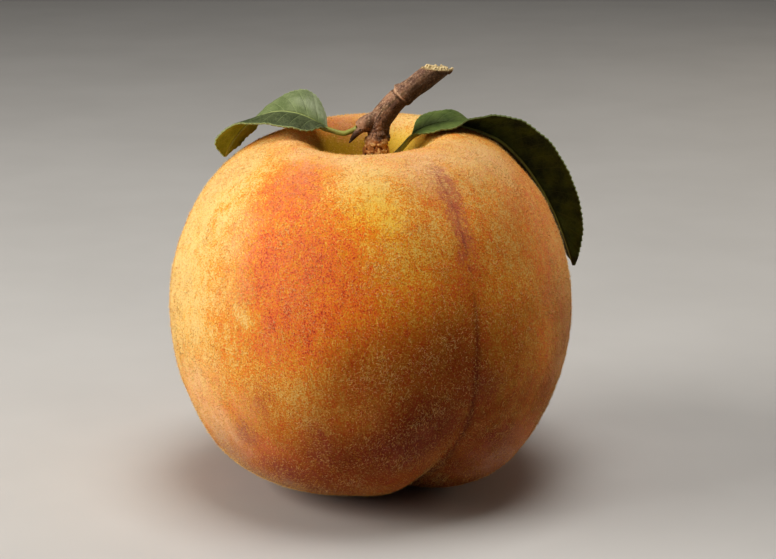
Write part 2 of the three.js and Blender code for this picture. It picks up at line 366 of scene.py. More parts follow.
class Board:
    """A node tree that a finish is wired on."""

    def __init__(self, tree: bpy.types.NodeTree) -> None:
        """Takes the tree."""
        self.tree = tree

    def add(self, kind: str, **settings: object) -> bpy.types.Node:
        """A new node with its settings."""
        node = self.tree.nodes.new(kind)
        for name, value in settings.items():
            setattr(node, name, value)
        return node

    def feed(self, socket: Socket, value: Value) -> None:
        """Links an output to a socket, or sets the socket to a plain value."""
        if isinstance(value, bpy.types.NodeSocket):
            self.tree.links.new(value, socket)
        elif socket.type == "RGBA":
            socket.default_value = (*value, 1.0)
        else:
            socket.default_value = value

    def math(self, operation: str, *values: Value, clamp: bool = False) -> Socket:
        """The result of a Math node."""
        node = self.add("ShaderNodeMath", operation=operation, use_clamp=clamp)
        for socket, value in zip(node.inputs, values):
            self.feed(socket, value)
        return node.outputs[0]

    def times(self, *factors: Value) -> Socket:
        """The product of two or more values."""
        product = factors[0]
        for factor in factors[1:]:
            product = self.math("MULTIPLY", product, factor)
        return product

    def plus(self, base: Value, value: Value, share: Value = 1.0) -> Socket:
        """A value with a share of another one added."""
        return self.math("MULTIPLY_ADD", value, share, base)

    def size(self, value: Value) -> Socket:
        """A value without its sign."""
        return self.math("ABSOLUTE", value)

    def centred(self, value: Value) -> Socket:
        """A value brought from 0..1 to -0.5..0.5."""
        return self.math("SUBTRACT", value, 0.5)

    def vector(self, operation: str, first: Value, second: Value = (0.0, 0.0, 0.0)) -> Socket:
        """The result of a Vector Math node, which is a number for a length."""
        node = self.add("ShaderNodeVectorMath", operation=operation)
        self.feed(node.inputs[0], first)
        self.feed(node.inputs[1], second)
        return node.outputs["Value" if operation == "LENGTH" else "Vector"]

    def split(self, vector: Socket) -> list[Socket]:
        """The three numbers of a vector."""
        node = self.add("ShaderNodeSeparateXYZ")
        self.feed(node.inputs[0], vector)
        return list(node.outputs)

    def together(self, x: Value, y: Value, z: Value = 0.0) -> Socket:
        """A vector of three numbers."""
        node = self.add("ShaderNodeCombineXYZ")
        for socket, value in zip(node.inputs, (x, y, z)):
            self.feed(socket, value)
        return node.outputs[0]

    def range(self, value: Value, low: Value, high: Value, to: Row = (0.0, 1.0)) -> Socket:
        """A value brought from low..high to another range, with soft ends.

        Args:
            value: The value.
            low: Where the result starts.
            high: Where the result ends. It may be below low.
            to: The result at low and at high.

        Returns:
            The result.
        """
        node = self.add("ShaderNodeMapRange", interpolation_type="SMOOTHSTEP")
        for socket, given in zip(node.inputs, (value, low, high, *to)):
            self.feed(socket, given)
        return node.outputs[0]

    def fade(self, value: Value, fade: Fade) -> Socket:
        """What a fade gives for a value."""
        return self.range(value, fade.start, fade.end, (fade.first, fade.last))

    def blend(self, share: Value, first: Value, second: Value, kind: str = "MIX") -> Socket:
        """Two colours mixed by a share."""
        node = self.add("ShaderNodeMix", data_type="RGBA", blend_type=kind)
        self.feed(node.inputs[0], share)
        self.feed(node.inputs[6], first)
        self.feed(node.inputs[7], second)
        return node.outputs[2]

    def ramp(self, value: Value, stops: Sequence[tuple[float, Colour]]) -> Socket:
        """A colour picked by a value from a row of colours.

        Args:
            value: The value, from 0 to 1.
            stops: The value and the colour of each stop, in rising order.

        Returns:
            The colour.
        """
        node = self.add("ShaderNodeValToRGB")
        self.feed(node.inputs[0], value)
        elements = node.color_ramp.elements
        elements[0].position, elements[-1].position = stops[0][0], stops[-1][0]
        for position, _ in stops[1:-1]:
            elements.new(position)
        for element, (_, colour) in zip(elements, stops):
            element.color = (*colour, 1.0)
        return node.outputs[0]

    def scaled(self, vector: Value, by: Row) -> Socket:
        """A vector with each number scaled."""
        return self.vector("MULTIPLY", vector, by)

    def noise(self, place: Value, grain: float, detail: float = 2.0, rough: float = 0.5) -> Socket:
        """Noise from 0 to 1 whose lumps are about a grain across."""
        node = self.add("ShaderNodeTexNoise")
        self.feed(node.inputs["Vector"], place)
        node.inputs["Scale"].default_value = 1 / grain
        node.inputs["Detail"].default_value = detail
        node.inputs["Roughness"].default_value = rough
        return node.outputs[0]

    def effect(self, tree: bpy.types.NodeTree, **values: Value) -> Socket:
        """The first output of a shared effect with the given inputs."""
        node = self.add("ShaderNodeGroup", node_tree=tree)
        for name, value in values.items():
            self.feed(node.inputs[name.capitalize()], value)
        return node.outputs[0]


class Effects:
    """The effects that several finishes share, each built once as a node group."""

    def __init__(self) -> None:
        """Builds the groups."""
        self.patch = self._patch()
        self.flecks = self._flecks()
        self.mottle = self._mottle()

    @staticmethod
    def _group(name: str, inputs: dict[str, str]) -> tuple[Board, dict[str, Socket], Socket]:
        """An empty group with its inputs and one mask that it puts out.

        Args:
            name: Name of the group.
            inputs: The kind of each input, by name.

        Returns:
            The board, the inputs inside the group, and the socket that takes the mask.
        """
        tree = bpy.data.node_groups.new(name, "ShaderNodeTree")
        for label, kind in inputs.items():
            tree.interface.new_socket(name=label, in_out="INPUT", socket_type="NodeSocket" + kind)
        tree.interface.new_socket(name="Mask", in_out="OUTPUT", socket_type="NodeSocketFloat")
        board = Board(tree)
        given = board.add("NodeGroupInput")
        made = board.add("NodeGroupOutput")
        return board, {label: given.outputs[label] for label in inputs}, made.inputs["Mask"]

    def _patch(self) -> bpy.types.NodeTree:
        """A soft patch round a centre, with its edge pushed in and out by a wobble."""
        kinds = {"Place": "Vector", "Centre": "Vector", "Reach": "Vector", "Wobble": "Float"}
        board, given, mask = self._group("soft_patch", kinds)
        offset = board.vector("SUBTRACT", given["Place"], given["Centre"])
        distance = board.vector("LENGTH", board.vector("DIVIDE", offset, given["Reach"]))
        uneven = board.math("ADD", distance, given["Wobble"])
        board.feed(mask, board.range(uneven, 1.3, 0.1))
        return board.tree

    def _flecks(self) -> bpy.types.NodeTree:
        """Small round flecks, one to a cell in some of the cells."""
        kinds = {"Place": "Vector", "Cell": "Float", "Radius": "Float", "Share": "Float"}
        board, given, mask = self._group("flecks", kinds)
        cells = board.add("ShaderNodeTexVoronoi")
        board.feed(cells.inputs["Vector"], given["Place"])
        board.feed(cells.inputs["Scale"], board.math("DIVIDE", 1.0, given["Cell"]))
        fleck = board.range(cells.outputs["Distance"], given["Radius"], 0.0)
        draw = board.split(cells.outputs["Color"])[0]
        chosen = board.math("LESS_THAN", draw, given["Share"])
        board.feed(mask, board.times(fleck, chosen))
        return board.tree

    def _mottle(self) -> bpy.types.NodeTree:
        """Uneven patches of noise, from none below low to full above high."""
        kinds = {"Place": "Vector", "Grain": "Float", "Low": "Float", "High": "Float"}
        board, given, mask = self._group("mottle", kinds)
        node = board.add("ShaderNodeTexNoise")
        board.feed(node.inputs["Vector"], given["Place"])
        board.feed(node.inputs["Scale"], board.math("DIVIDE", 1.0, given["Grain"]))
        node.inputs["Detail"].default_value = 3.0
        node.inputs["Roughness"].default_value = 0.6
        board.feed(mask, board.range(node.outputs[0], given["Low"], given["High"]))
        return board.tree


class Surface:
    """A material with one Principled shader, and the board that feeds it."""

    def __init__(self, name: str, **plain: object) -> None:
        """Makes the material.

        Args:
            name: Name of the material.
            plain: Sockets of the shader that are the same all over, with _ for a space.
        """
        self.material = bpy.data.materials.new(name)
        self.material.use_nodes = True
        self.board = Board(self.material.node_tree)
        self.shader = self.material.node_tree.nodes["Principled BSDF"]
        for label, value in plain.items():
            self.board.feed(self.shader.inputs[label.replace("_", " ")], value)

    def place(self) -> Socket:
        """Object coordinates in millimetres."""
        coordinates = self.board.add("ShaderNodeTexCoord")
        return self.board.scaled(coordinates.outputs["Object"], (1000.0, 1000.0, 1000.0))

    def marked(self, name: str) -> Socket:
        """The vector that a piece's points carry under a name."""
        node = self.board.add("ShaderNodeAttribute", attribute_name=name)
        return node.outputs["Vector"]

    def set(self, label: str, value: Value) -> None:
        """Feeds a socket of the shader."""
        self.board.feed(self.shader.inputs[label], value)

    def relief(self, height: Value, depth: float, strength: float = 1.0) -> None:
        """Feeds the shader's normal with a relief.

        Args:
            height: The height from 0 to 1.
            depth: How deep a height of 1 is, in millimetres.
            strength: How much of it shows.
        """
        node = self.board.add("ShaderNodeBump")
        node.inputs["Strength"].default_value = strength
        node.inputs["Distance"].default_value = depth * MM
        self.board.feed(node.inputs["Height"], height)
        self.set("Normal", node.outputs[0])


# -------- finishes


@dataclass(frozen=True)
class Fade:
    """A soft change of a value over a stretch, whose end may lie below its start."""

    start: float
    end: float
    first: float = 0.0
    last: float = 1.0


@dataclass(frozen=True)
class Patch:
    """A soft patch by its centre and its reach each way, in millimetres, and its strength."""

    centre: Row
    reach: Row
    strength: float


class SkinGrain:
    """The skin's board, with each place on the skin and the noises that its colours share."""

    def __init__(self, surface: Surface, effects: Effects) -> None:
        """Wires the places and the noises.

        Args:
            surface: The skin's material.
            effects: The shared effects.
        """
        self.board = board = surface.board
        self.effects = effects
        self.place = surface.place()
        self.x, self.y, self.z = board.split(self.place)
        self.ragged = board.noise(self.place, grain=5.0, detail=4.0, rough=0.6)
        self.clouds = board.centred(self.ragged)
        self.wobble = board.times(self.clouds, 0.8)
        self.streaky = board.scaled(self.place, (1.0, 1.0, 0.4))
        self.streaks = board.centred(board.noise(self.streaky, grain=1.5, detail=3.0, rough=0.62))
        self.specks = board.centred(board.noise(self.place, grain=0.4, detail=2.0, rough=0.65))
        self.grains = board.centred(board.noise(self.place, grain=0.22, detail=1.0, rough=0.5))
        self.soft = board.plus(board.times(self.specks, 1.2), self.streaks)

        # How far right of the seam each place is, and whether it is on the front half.
        turn = math.radians(SEAM_ANGLE)
        self.beside = board.plus(board.times(self.y, math.sin(turn)), self.x, math.cos(turn))
        self.front = board.math("LESS_THAN", self.y, 0.0)

    def total(self, patches: Sequence[Patch]) -> Socket:
        """The soft patches added up."""
        whole: Value = 0.0
        for patch in patches:
            spot = {"centre": patch.centre, "reach": patch.reach, "wobble": self.wobble}
            mask = self.board.effect(self.effects.patch, place=self.place, **spot)
            whole = self.board.plus(whole, mask, patch.strength)
        return whole

    def mottle(self, place: Socket, grain: float, low: float, high: float) -> Socket:
        """The shared mottle at a place."""
        return self.board.effect(self.effects.mottle, place=place, grain=grain, low=low, high=high)

    def broken(self, mask: Socket, grain: Socket) -> Socket:
        """A mask whose middle tones are broken up by a grain, with nothing left where it is 0."""
        present = self.board.range(mask, 0.0, 0.25)
        return self.board.math("ADD", mask, self.board.times(grain, present), clamp=True)


@dataclass(frozen=True)
class DownySkin:
    """Golden skin with a coral blush, a purple streak on the seam and mauve blotches low down."""

    # Colours from the yellow of the cheek to the crimson of the ripest grains.
    ripeness: tuple[tuple[float, Colour], ...] = (
        (0.0, (0.88, 0.61, 0.235)),
        (0.2, (0.87, 0.455, 0.08)),
        (0.42, (0.8, 0.29, 0.018)),
        (0.62, (0.88, 0.225, 0.036)),
        (0.82, (0.86, 0.152, 0.054)),
        (1.0, (0.52, 0.045, 0.026)),
    )
    lemon: Colour = (0.49, 0.29, 0.009)
    # The hollow's olive and the warm yellow after it are its painted shade and its painted light.
    olive: Colour = (0.35, 0.205, 0.005)
    lit_golden: Colour = (0.82, 0.54, 0.07)
    honey: Colour = (1.0, 0.94, 0.38)
    # Painted shade: a brown for low down and on the right, and a darker tone for the shaded patches, the
    # furrow and the crease.
    umber_shade: Colour = (0.42, 0.285, 0.08)
    shade_dusk: Colour = (0.56, 0.37, 0.2)
    pore: Colour = (0.6, 0.4, 0.28)
    # The pale tone of the down, partly painted sheen along the edges.
    dust_and_sheen: Colour = (0.95, 0.61, 0.33)
    ash: Colour = (0.46, 0.3, 0.22)
    plum: Colour = (0.25, 0.045, 0.04)
    mauve: Colour = (0.5, 0.15, 0.095)
    rose: Colour = (0.7, 0.23, 0.11)
    cream: Colour = (0.96, 0.63, 0.24)
    # Patches that are riper, and then patches that are less ripe.
    blush: tuple[Patch, ...] = (
        Patch((-11, -34, 48), (13, 10, 13), 0.215),
        Patch((-6, -33, 53), (7, 7, 9), 0.11),
        Patch((-14, -19, 64), (9, 9, 9), 0.33),
        Patch((-15, -27, 56), (10, 9, 9), 0.19),
        Patch((-21, -28, 50), (6, 6, 7), 0.09),
        Patch((-20, -32, 43), (8, 7, 10), 0.13),
        Patch((-13, -36, 38), (9, 8, 8), 0.15),
        Patch((-1, -37, 43), (9, 8, 11), 0.12),
        Patch((12, -23, 62), (7, 8, 7), 0.05),
        Patch((16, -30, 50), (6, 7, 12), 0.1),
        Patch((18.8, -32, 29), (4.5, 5, 6), 0.18),
        Patch((33, -14, 45), (7, 10, 16), 0.12),
        Patch((10, -34, 20), (9, 6, 7), 0.14),
        Patch((-19, -28, 12), (12, 10, 9), 0.14),
        Patch((-4, 35, 47), (18, 12, 18), 0.36),
        Patch((-27, 22, 52), (12, 12, 14), 0.24),
        Patch((19, 30, 33), (13, 10, 16), 0.26),
    )
    yellows: tuple[Patch, ...] = (
        Patch((-38, -10, 46), (17, 30, 34), 0.53),
        Patch((-26, -8, 63), (14, 16, 10), 0.4),
        Patch((-9, -13.5, 68.5), (10, 6, 4), 0.26),
        Patch((-1, -22.5, 64.5), (9, 9, 9), 0.4),
        Patch((21, -8, 66), (15, 14, 8), 0.26),
        Patch((24.5, -22, 54), (9, 11, 15), 0.11),
        Patch((36, -12, 45), (6, 12, 18), 0.14),
        Patch((8, 11, 67.5), (11, 7, 5), 0.44),
        Patch((-13, -36.5, 29), (8, 7, 7), 0.12),
        Patch((2.5, -32.5, 54), (8, 7, 9), 0.13),
        Patch((3, -28, 60.5), (5, 6, 5), 0.15),
        Patch((11, -20, 64.5), (8, 6, 5), 0.22),
        Patch((9.5, -29.5, 57), (7, 6, 7), 0.16),
        Patch((-18, -15, 64.6), (5, 5, 4), 0.12),
        Patch((-12.5, -30.7, 55.3), (5, 5, 5), 0.07),
        Patch((-22.5, -31, 41.2), (3.2, 4, 2.4), 0.36),
        Patch((27, 22, 52), (14, 14, 14), 0.2),
    )
    # Rose on the shoulders, on the right edge and low down.
    roses: tuple[Patch, ...] = (
        Patch((-13, -22, 62), (9, 9, 8), 0.34),
        Patch((-13, -32, 50), (12, 8, 12), 0.18),
        Patch((34, -14, 42), (6, 12, 22), 0.14),
        Patch((9, -20.5, 64), (8, 7, 6), 0.22),
        Patch((-7.5, 11.5, 67.5), (7, 5, 4), 0.7),
        Patch((-27, -6, 62), (11, 10, 7), 0.22),
        Patch((27, -15, 12), (13, 12, 9), 0.45),
        Patch((-23, -24, 13), (12, 12, 9), 0.45),
        Patch((28, -8, 60), (10, 13, 9), 0.36),
        Patch((-31, -16, 22), (9, 12, 9), 0.35),
    )
    # Where the down gives the skin a pale veil, partly painted sheen where the skin turns away at its edges
    # and at the hollow's rim, and where the skin is greyer and darker along its lower edges.
    dusty_and_sheen: tuple[Patch, ...] = (
        Patch((4, -17.5, 67.5), (15, 6, 4.5), 0.42),
        Patch((20, -10, 66), (13, 10, 6), 0.52),
        Patch((-9, -16.5, 68), (9, 5, 4), 0.36),
        Patch((-16, -3, 69), (9, 8, 4.5), 0.42),
        Patch((-23, -24, 55.5), (5, 6, 8), 0.24),
        Patch((-31, -17, 21), (8, 10, 9), 0.52),
        Patch((-24.5, -27.5, 47), (5, 7, 10), 0.12),
        Patch((-25.5, -23.5, 16.5), (5.5, 5, 6), 0.34),
        Patch((-13, -21, 64), (6, 5, 4), 0.08),
        Patch((-13, -11.5, 66.8), (6, 4.5, 3), 0.5),
        Patch((10, -14, 67), (5, 4, 3), 0.28),
        Patch((1.5, -13.5, 67.3), (5, 3.5, 2.5), 0.24),
        Patch((-22.5, -29, 23.5), (5, 6, 5), 0.22),
        Patch((-29, -22, 29), (6, 8, 6), 0.2),
        Patch((10, -20.5, 63.8), (6.5, 6, 4.5), 0.36),
        Patch((37, -8, 24), (6, 13, 13), 0.26),
        Patch((-2, 15, 68), (17, 6, 4.5), 0.42),
    )
    ashes: tuple[Patch, ...] = (
        Patch((-27, -18, 10), (8, 10, 8), 0.6),
        Patch((-19, -23, 4.5), (11, 8, 5), 0.6),
        Patch((25, -20, 9), (9, 9, 7), 0.45),
    )
    # Painted shade: where the skin is darker, twice over past a strength of 1.
    shade_patches: tuple[Patch, ...] = (
        Patch((10, -37, 34), (14, 12, 12), 0.85),
        Patch((-7, -36, 26), (8, 7, 8), 0.35),
        Patch((-3, -34, 14), (14, 10, 8), 1.05),
        Patch((9, -34, 20.5), (10.5, 8, 8.5), 1.4),
        Patch((20, -29, 21), (7, 7, 7.5), 0.45),
        Patch((27, -16, 57.5), (6, 7, 6), 0.28),
        Patch((14.7, -33.8, 43.3), (5, 5, 6), 0.22),
        Patch((-4, -38, 33), (6, 6, 7.5), 0.5),
        Patch((-26, -19, 8), (10, 10, 8), 0.56),
        Patch((-9.5, -28, 7), (8.5, 8, 5), 0.6),
        Patch((17.5, -30, 49), (5, 6, 9), 0.42),
        Patch((17.5, -33, 35), (6, 6, 10), 0.4),
        Patch((25, -22, 53), (9, 9, 8), 0.36),
        Patch((23, -24, 15), (8, 7, 6), 0.6),
        Patch((17, -25, 8), (8, 8, 6), 0.9),
    )
    # Where the yellow is deepest.
    honeyed: tuple[Patch, ...] = (
        Patch((0.5, -30, 59), (10, 9, 8), 0.85),
        Patch((5, -36, 42), (20, 12, 20), 0.75),
        Patch((25, -27, 36), (10, 12, 18), 0.5),
    )
    # Painted light: where the painted shade low down is left off, on the right edge that the light from
    # behind reaches.
    lit: tuple[Patch, ...] = (
        Patch((31.5, -21, 33.5), (6.5, 8, 9.5), 0.85),
    )
    # Plum blotches low down.
    plums: tuple[Patch, ...] = (
        Patch((-23, -26.6, 17.6), (3.4, 4, 4.4), 0.4),
        Patch((-16.1, -26.9, 10.7), (7.5, 6, 4), 0.55),
        Patch((-9.5, -33.6, 17.8), (4, 5, 7), 0.34),
        Patch((-19.8, -32, 25.7), (4, 5, 6), 0.2),
        Patch((20.7, -30.7, 28.1), (4, 4, 3.5), 0.45),
        Patch((28.9, -24.6, 31.9), (3.5, 4, 6), 0.14),
        Patch((23.5, -23.2, 15.2), (6, 6, 5), 0.34),
        Patch((7, -33, 15), (10, 8, 8), 0.22),
        Patch((12, 33, 20), (6, 5, 5), 0.35),
        Patch((-22, 28, 24), (5, 5, 7), 0.3),
    )

    # How ripe a place is without its patches, and how much each noise adds to it.
    ripe_below: Fade = Fade(28, 6, 0.4, 0.54)
    cloud_share: float = 0.34
    streak_share: float = 0.90
    speck_share: float = 1.15
    grain_share: float = 1.50

    # The stem hollow, which is wider on its left, and its colours from left to right: olive as painted
    # shade on its left wall, turned from the light, then lemon, then a warm yellow as painted light on its
    # right wall.
    hollow_wider: Fade = Fade(0, -6, 0, 1.3)
    hollow_rim: Fade = Fade(12.8, 8.4)
    hollow_height: Fade = Fade(40, 50)
    shaded_to_lemon: Fade = Fade(-8, -2)
    lemon_to_lit: Fade = Fade(0, 6)

    # The painted shade low down, in a brown whose upper edge slants up from left to right, so that it
    # reaches higher on the right, away from the light.
    umber_shade_slopes: Pair = (-0.7, -0.25)
    umber_shade_height: Fade = Fade(48, 18)
    umber_shade_ragged: Fade = Fade(0.25, 0.7, 0.7, 1)
    stray_share: float = 0.25

    # The purple streak that wanders along the upper seam, inside a halo of rose.
    streak_top: Fade = Fade(67.4, 63)
    streak_foot: Fade = Fade(46, 60)
    streak_aside: Fade = Fade(53, 64, 0.35, 0.95)
    streak_wander: float = 2.4
    halo: Fade = Fade(4.6, 0)
    halo_share: float = 0.16
    band: Fade = Fade(2.9, 0.2)
    band_share: float = 0.70
    band_grain: float = 2.2

    # The broken line in the bottom of the seam, with the shade of its furrow and of its crease.
    line_aside: float = 0.55
    line: Fade = Fade(0.5, 0)
    line_top: Fade = Fade(68, 63)
    line_gaps: Fade = Fade(-0.12, 0.14, 0.05, 0.55)
    furrow_left: Fade = Fade(-0.8, 0.8)
    furrow_right: Fade = Fade(8, 1)
    furrow_height: Fade = Fade(38, 14, 0, 0.55)
    crease: Fade = Fade(1.3, 0)
    crease_height: Fade = Fade(50, 36, 0, 0.75)

    # Pores show most on ripe skin, and the pale grain of the down shows in swirls.
    pore_ripe: Fade = Fade(0, 0.35, 0.3, 0.9)
    swirl_share: Fade = Fade(0, 1, 0.22, 0.62)
    dullness: Fade = Fade(0.2, 0.8, 0.6, 0.74)
    relief_depth: float = 0.12
    relief_strength: float = 0.6

    def material(self, effects: Effects) -> Finish:
        """Wires the skin.

        Args:
            effects: The shared effects.

        Returns:
            The finished material.
        """
        surface = Surface(
            "downy_skin",
            Roughness=0.66,
            Specular_IOR_Level=0.15,
            Sheen_Weight=0.12,
            Sheen_Roughness=0.45,
            Sheen_Tint=(1.0, 0.76, 0.44),
            Subsurface_Weight=0.08,
            Subsurface_Radius=(1.0, 0.36, 0.1),
            Subsurface_Scale=0.0024,
        )
        board = surface.board
        grain = SkinGrain(surface, effects)
        ripe = self._ripe(grain)
        skin = board.ramp(ripe, self.ripeness)
        for step in (self._hollow, self._low_down, self._blotches, self._streak, self._seam):
            skin = step(grain, skin)
        surface.set("Base Color", self._pores_and_down(grain, skin, ripe))

        surface.set("Roughness", board.fade(grain.ragged, self.dullness))
        height = board.plus(board.plus(grain.grains, grain.specks, 0.6), grain.ragged, 1.5)
        surface.relief(height, self.relief_depth, self.relief_strength)
        return surface.material

    def _ripe(self, grain: SkinGrain) -> Socket:
        """How ripe each place is, which picks its colour.

        Args:
            grain: The skin's places and noises.

        Returns:
            The ripeness: clouds, streaks, specks and grains over the patches.
        """
        board = grain.board
        ripe = board.math("SUBTRACT", grain.total(self.blush), grain.total(self.yellows))
        ripe = board.math("ADD", ripe, board.fade(grain.z, self.ripe_below))
        ripe = board.plus(ripe, grain.clouds, self.cloud_share)
        ripe = board.plus(ripe, grain.streaks, self.streak_share)
        ripe = board.plus(ripe, grain.specks, self.speck_share)
        return board.plus(ripe, grain.grains, self.grain_share)

    def _hollow(self, grain: SkinGrain, skin: Socket) -> Socket:
        """Lays greenish yellow in the stem hollow, with painted shade in olive on its left wall and painted
        light on its right wall.

        Args:
            grain: The skin's places and noises.
            skin: The colour so far.

        Returns:
            The colour.
        """
        board = grain.board
        off_axis = board.vector("LENGTH", board.together(grain.x, grain.y))
        off_axis = board.math("SUBTRACT", off_axis, board.fade(grain.x, self.hollow_wider))
        inside = board.times(board.fade(off_axis, self.hollow_rim), board.fade(grain.z, self.hollow_height))
        hollow = board.blend(board.fade(grain.x, self.shaded_to_lemon), self.olive, self.lemon)
        hollow = board.blend(board.fade(grain.x, self.lemon_to_lit), hollow, self.lit_golden)
        return board.blend(inside, skin, hollow)

    def _low_down(self, grain: SkinGrain, skin: Socket) -> Socket:
        """Paints shade into the skin: a brown low down and on the right, and a darker tone, twice over, in
        the middle of the front.

        Args:
            grain: The skin's places and noises.
            skin: The colour so far.

        Returns:
            The colour.
        """
        board = grain.board
        slope = board.math("MAXIMUM", *(board.times(grain.x, rise) for rise in self.umber_shade_slopes))
        umber_shade = board.fade(board.math("ADD", grain.z, slope), self.umber_shade_height)
        # Painted light: the painted shade is left off where the light from behind reaches the right edge.
        unlit = board.math("SUBTRACT", 1.0, grain.total(self.lit), clamp=True)
        umber_shade = board.times(umber_shade, board.fade(grain.ragged, self.umber_shade_ragged), unlit)
        skin = board.blend(umber_shade, skin, self.umber_shade, "MULTIPLY")
        # Painted shade in patches, twice over past a strength of 1.
        shade_patches = grain.total(self.shade_patches)
        skin = board.blend(shade_patches, skin, self.shade_dusk, "MULTIPLY")
        shade_twice = board.math("SUBTRACT", shade_patches, 1.0, clamp=True)
        return board.blend(shade_twice, skin, self.shade_dusk, "MULTIPLY")

    def _blotches(self, grain: SkinGrain, skin: Socket) -> Socket:
        """Lays rose, pale (partly painted sheen), plum and ashen blotches over each other.

        Args:
            grain: The skin's places and noises.
            skin: The colour so far.

        Returns:
            The colour.
        """
        board = grain.board
        stray = grain.mottle(grain.streaky, grain=6.0, low=0.55, high=0.8)
        roses = grain.broken(grain.total(self.roses), grain.soft)
        roses = board.math("MAXIMUM", roses, board.times(stray, self.stray_share))
        skin = board.blend(roses, skin, self.rose)
        tones = ((self.dusty_and_sheen, self.dust_and_sheen), (self.plums, self.plum), (self.ashes, self.ash))
        for patches, colour in tones:
            skin = board.blend(grain.broken(grain.total(patches), grain.soft), skin, colour)
        return skin

    def _streak(self, grain: SkinGrain, skin: Socket) -> Socket:
        """Lays the purple streak and its halo along the upper seam.

        Args:
            grain: The skin's places and noises.
            skin: The colour so far.

        Returns:
            The colour.
        """
        board = grain.board
        upper = board.times(board.fade(grain.z, self.streak_top), board.fade(grain.z, self.streak_foot))
        aside = board.math("SUBTRACT", grain.beside, board.fade(grain.z, self.streak_aside))
        off_line = board.size(board.plus(aside, grain.clouds, self.streak_wander))
        halo = grain.broken(board.times(board.fade(off_line, self.halo), upper), grain.soft)
        skin = board.blend(board.times(halo, grain.front, self.halo_share), skin, self.rose)
        grainy = board.times(grain.soft, self.band_grain)
        band = grain.broken(board.times(board.fade(off_line, self.band), upper), grainy)
        return board.blend(board.times(band, grain.front, self.band_share), skin, self.mauve)

    def _seam(self, grain: SkinGrain, skin: Socket) -> Socket:
        """Draws the line in the bottom of the seam, and shades its furrow and its crease.

        Args:
            grain: The skin's places and noises.
            skin: The colour so far.

        Returns:
            The colour.
        """
        board = grain.board
        off_line = board.math("SUBTRACT", grain.beside, self.line_aside)
        off_line = board.size(board.plus(off_line, grain.streaks))
        line = board.times(
            board.fade(off_line, self.line),
            grain.front,
            board.fade(grain.z, self.line_top),
            board.fade(grain.streaks, self.line_gaps),
        )
        skin = board.blend(line, skin, self.plum)
        furrow = board.times(
            board.fade(grain.beside, self.furrow_left),
            board.fade(grain.beside, self.furrow_right),
            board.fade(grain.z, self.furrow_height),
            grain.front,
        )
        skin = board.blend(furrow, skin, self.shade_dusk, "MULTIPLY")
        crease = board.times(
            board.fade(off_line, self.crease), board.fade(grain.z, self.crease_height), grain.front
        )
        return board.blend(crease, skin, self.shade_dusk, "MULTIPLY")

    def _pores_and_down(self, grain: SkinGrain, skin: Socket, ripe: Socket) -> Socket:
        """Lays dark pores, the paler grain of the down in swirls, and the deepest yellow.

        Args:
            grain: The skin's places and noises.
            skin: The colour so far.
            ripe: How ripe each place is.

        Returns:
            The colour.
        """
        board = grain.board
        pores = grain.mottle(grain.place, grain=0.3, low=0.5, high=0.72)
        pores = board.times(pores, board.fade(ripe, self.pore_ripe))
        skin = board.blend(pores, skin, self.pore, "MULTIPLY")
        fine = grain.mottle(grain.place, grain=0.36, low=0.5, high=0.78)
        swirls = grain.mottle(grain.place, grain=7.0, low=0.35, high=0.75)
        fine = board.times(fine, board.fade(swirls, self.swirl_share))
        skin = board.blend(fine, skin, self.cream)
        return board.blend(grain.total(self.honeyed), skin, self.honey, "MULTIPLY")


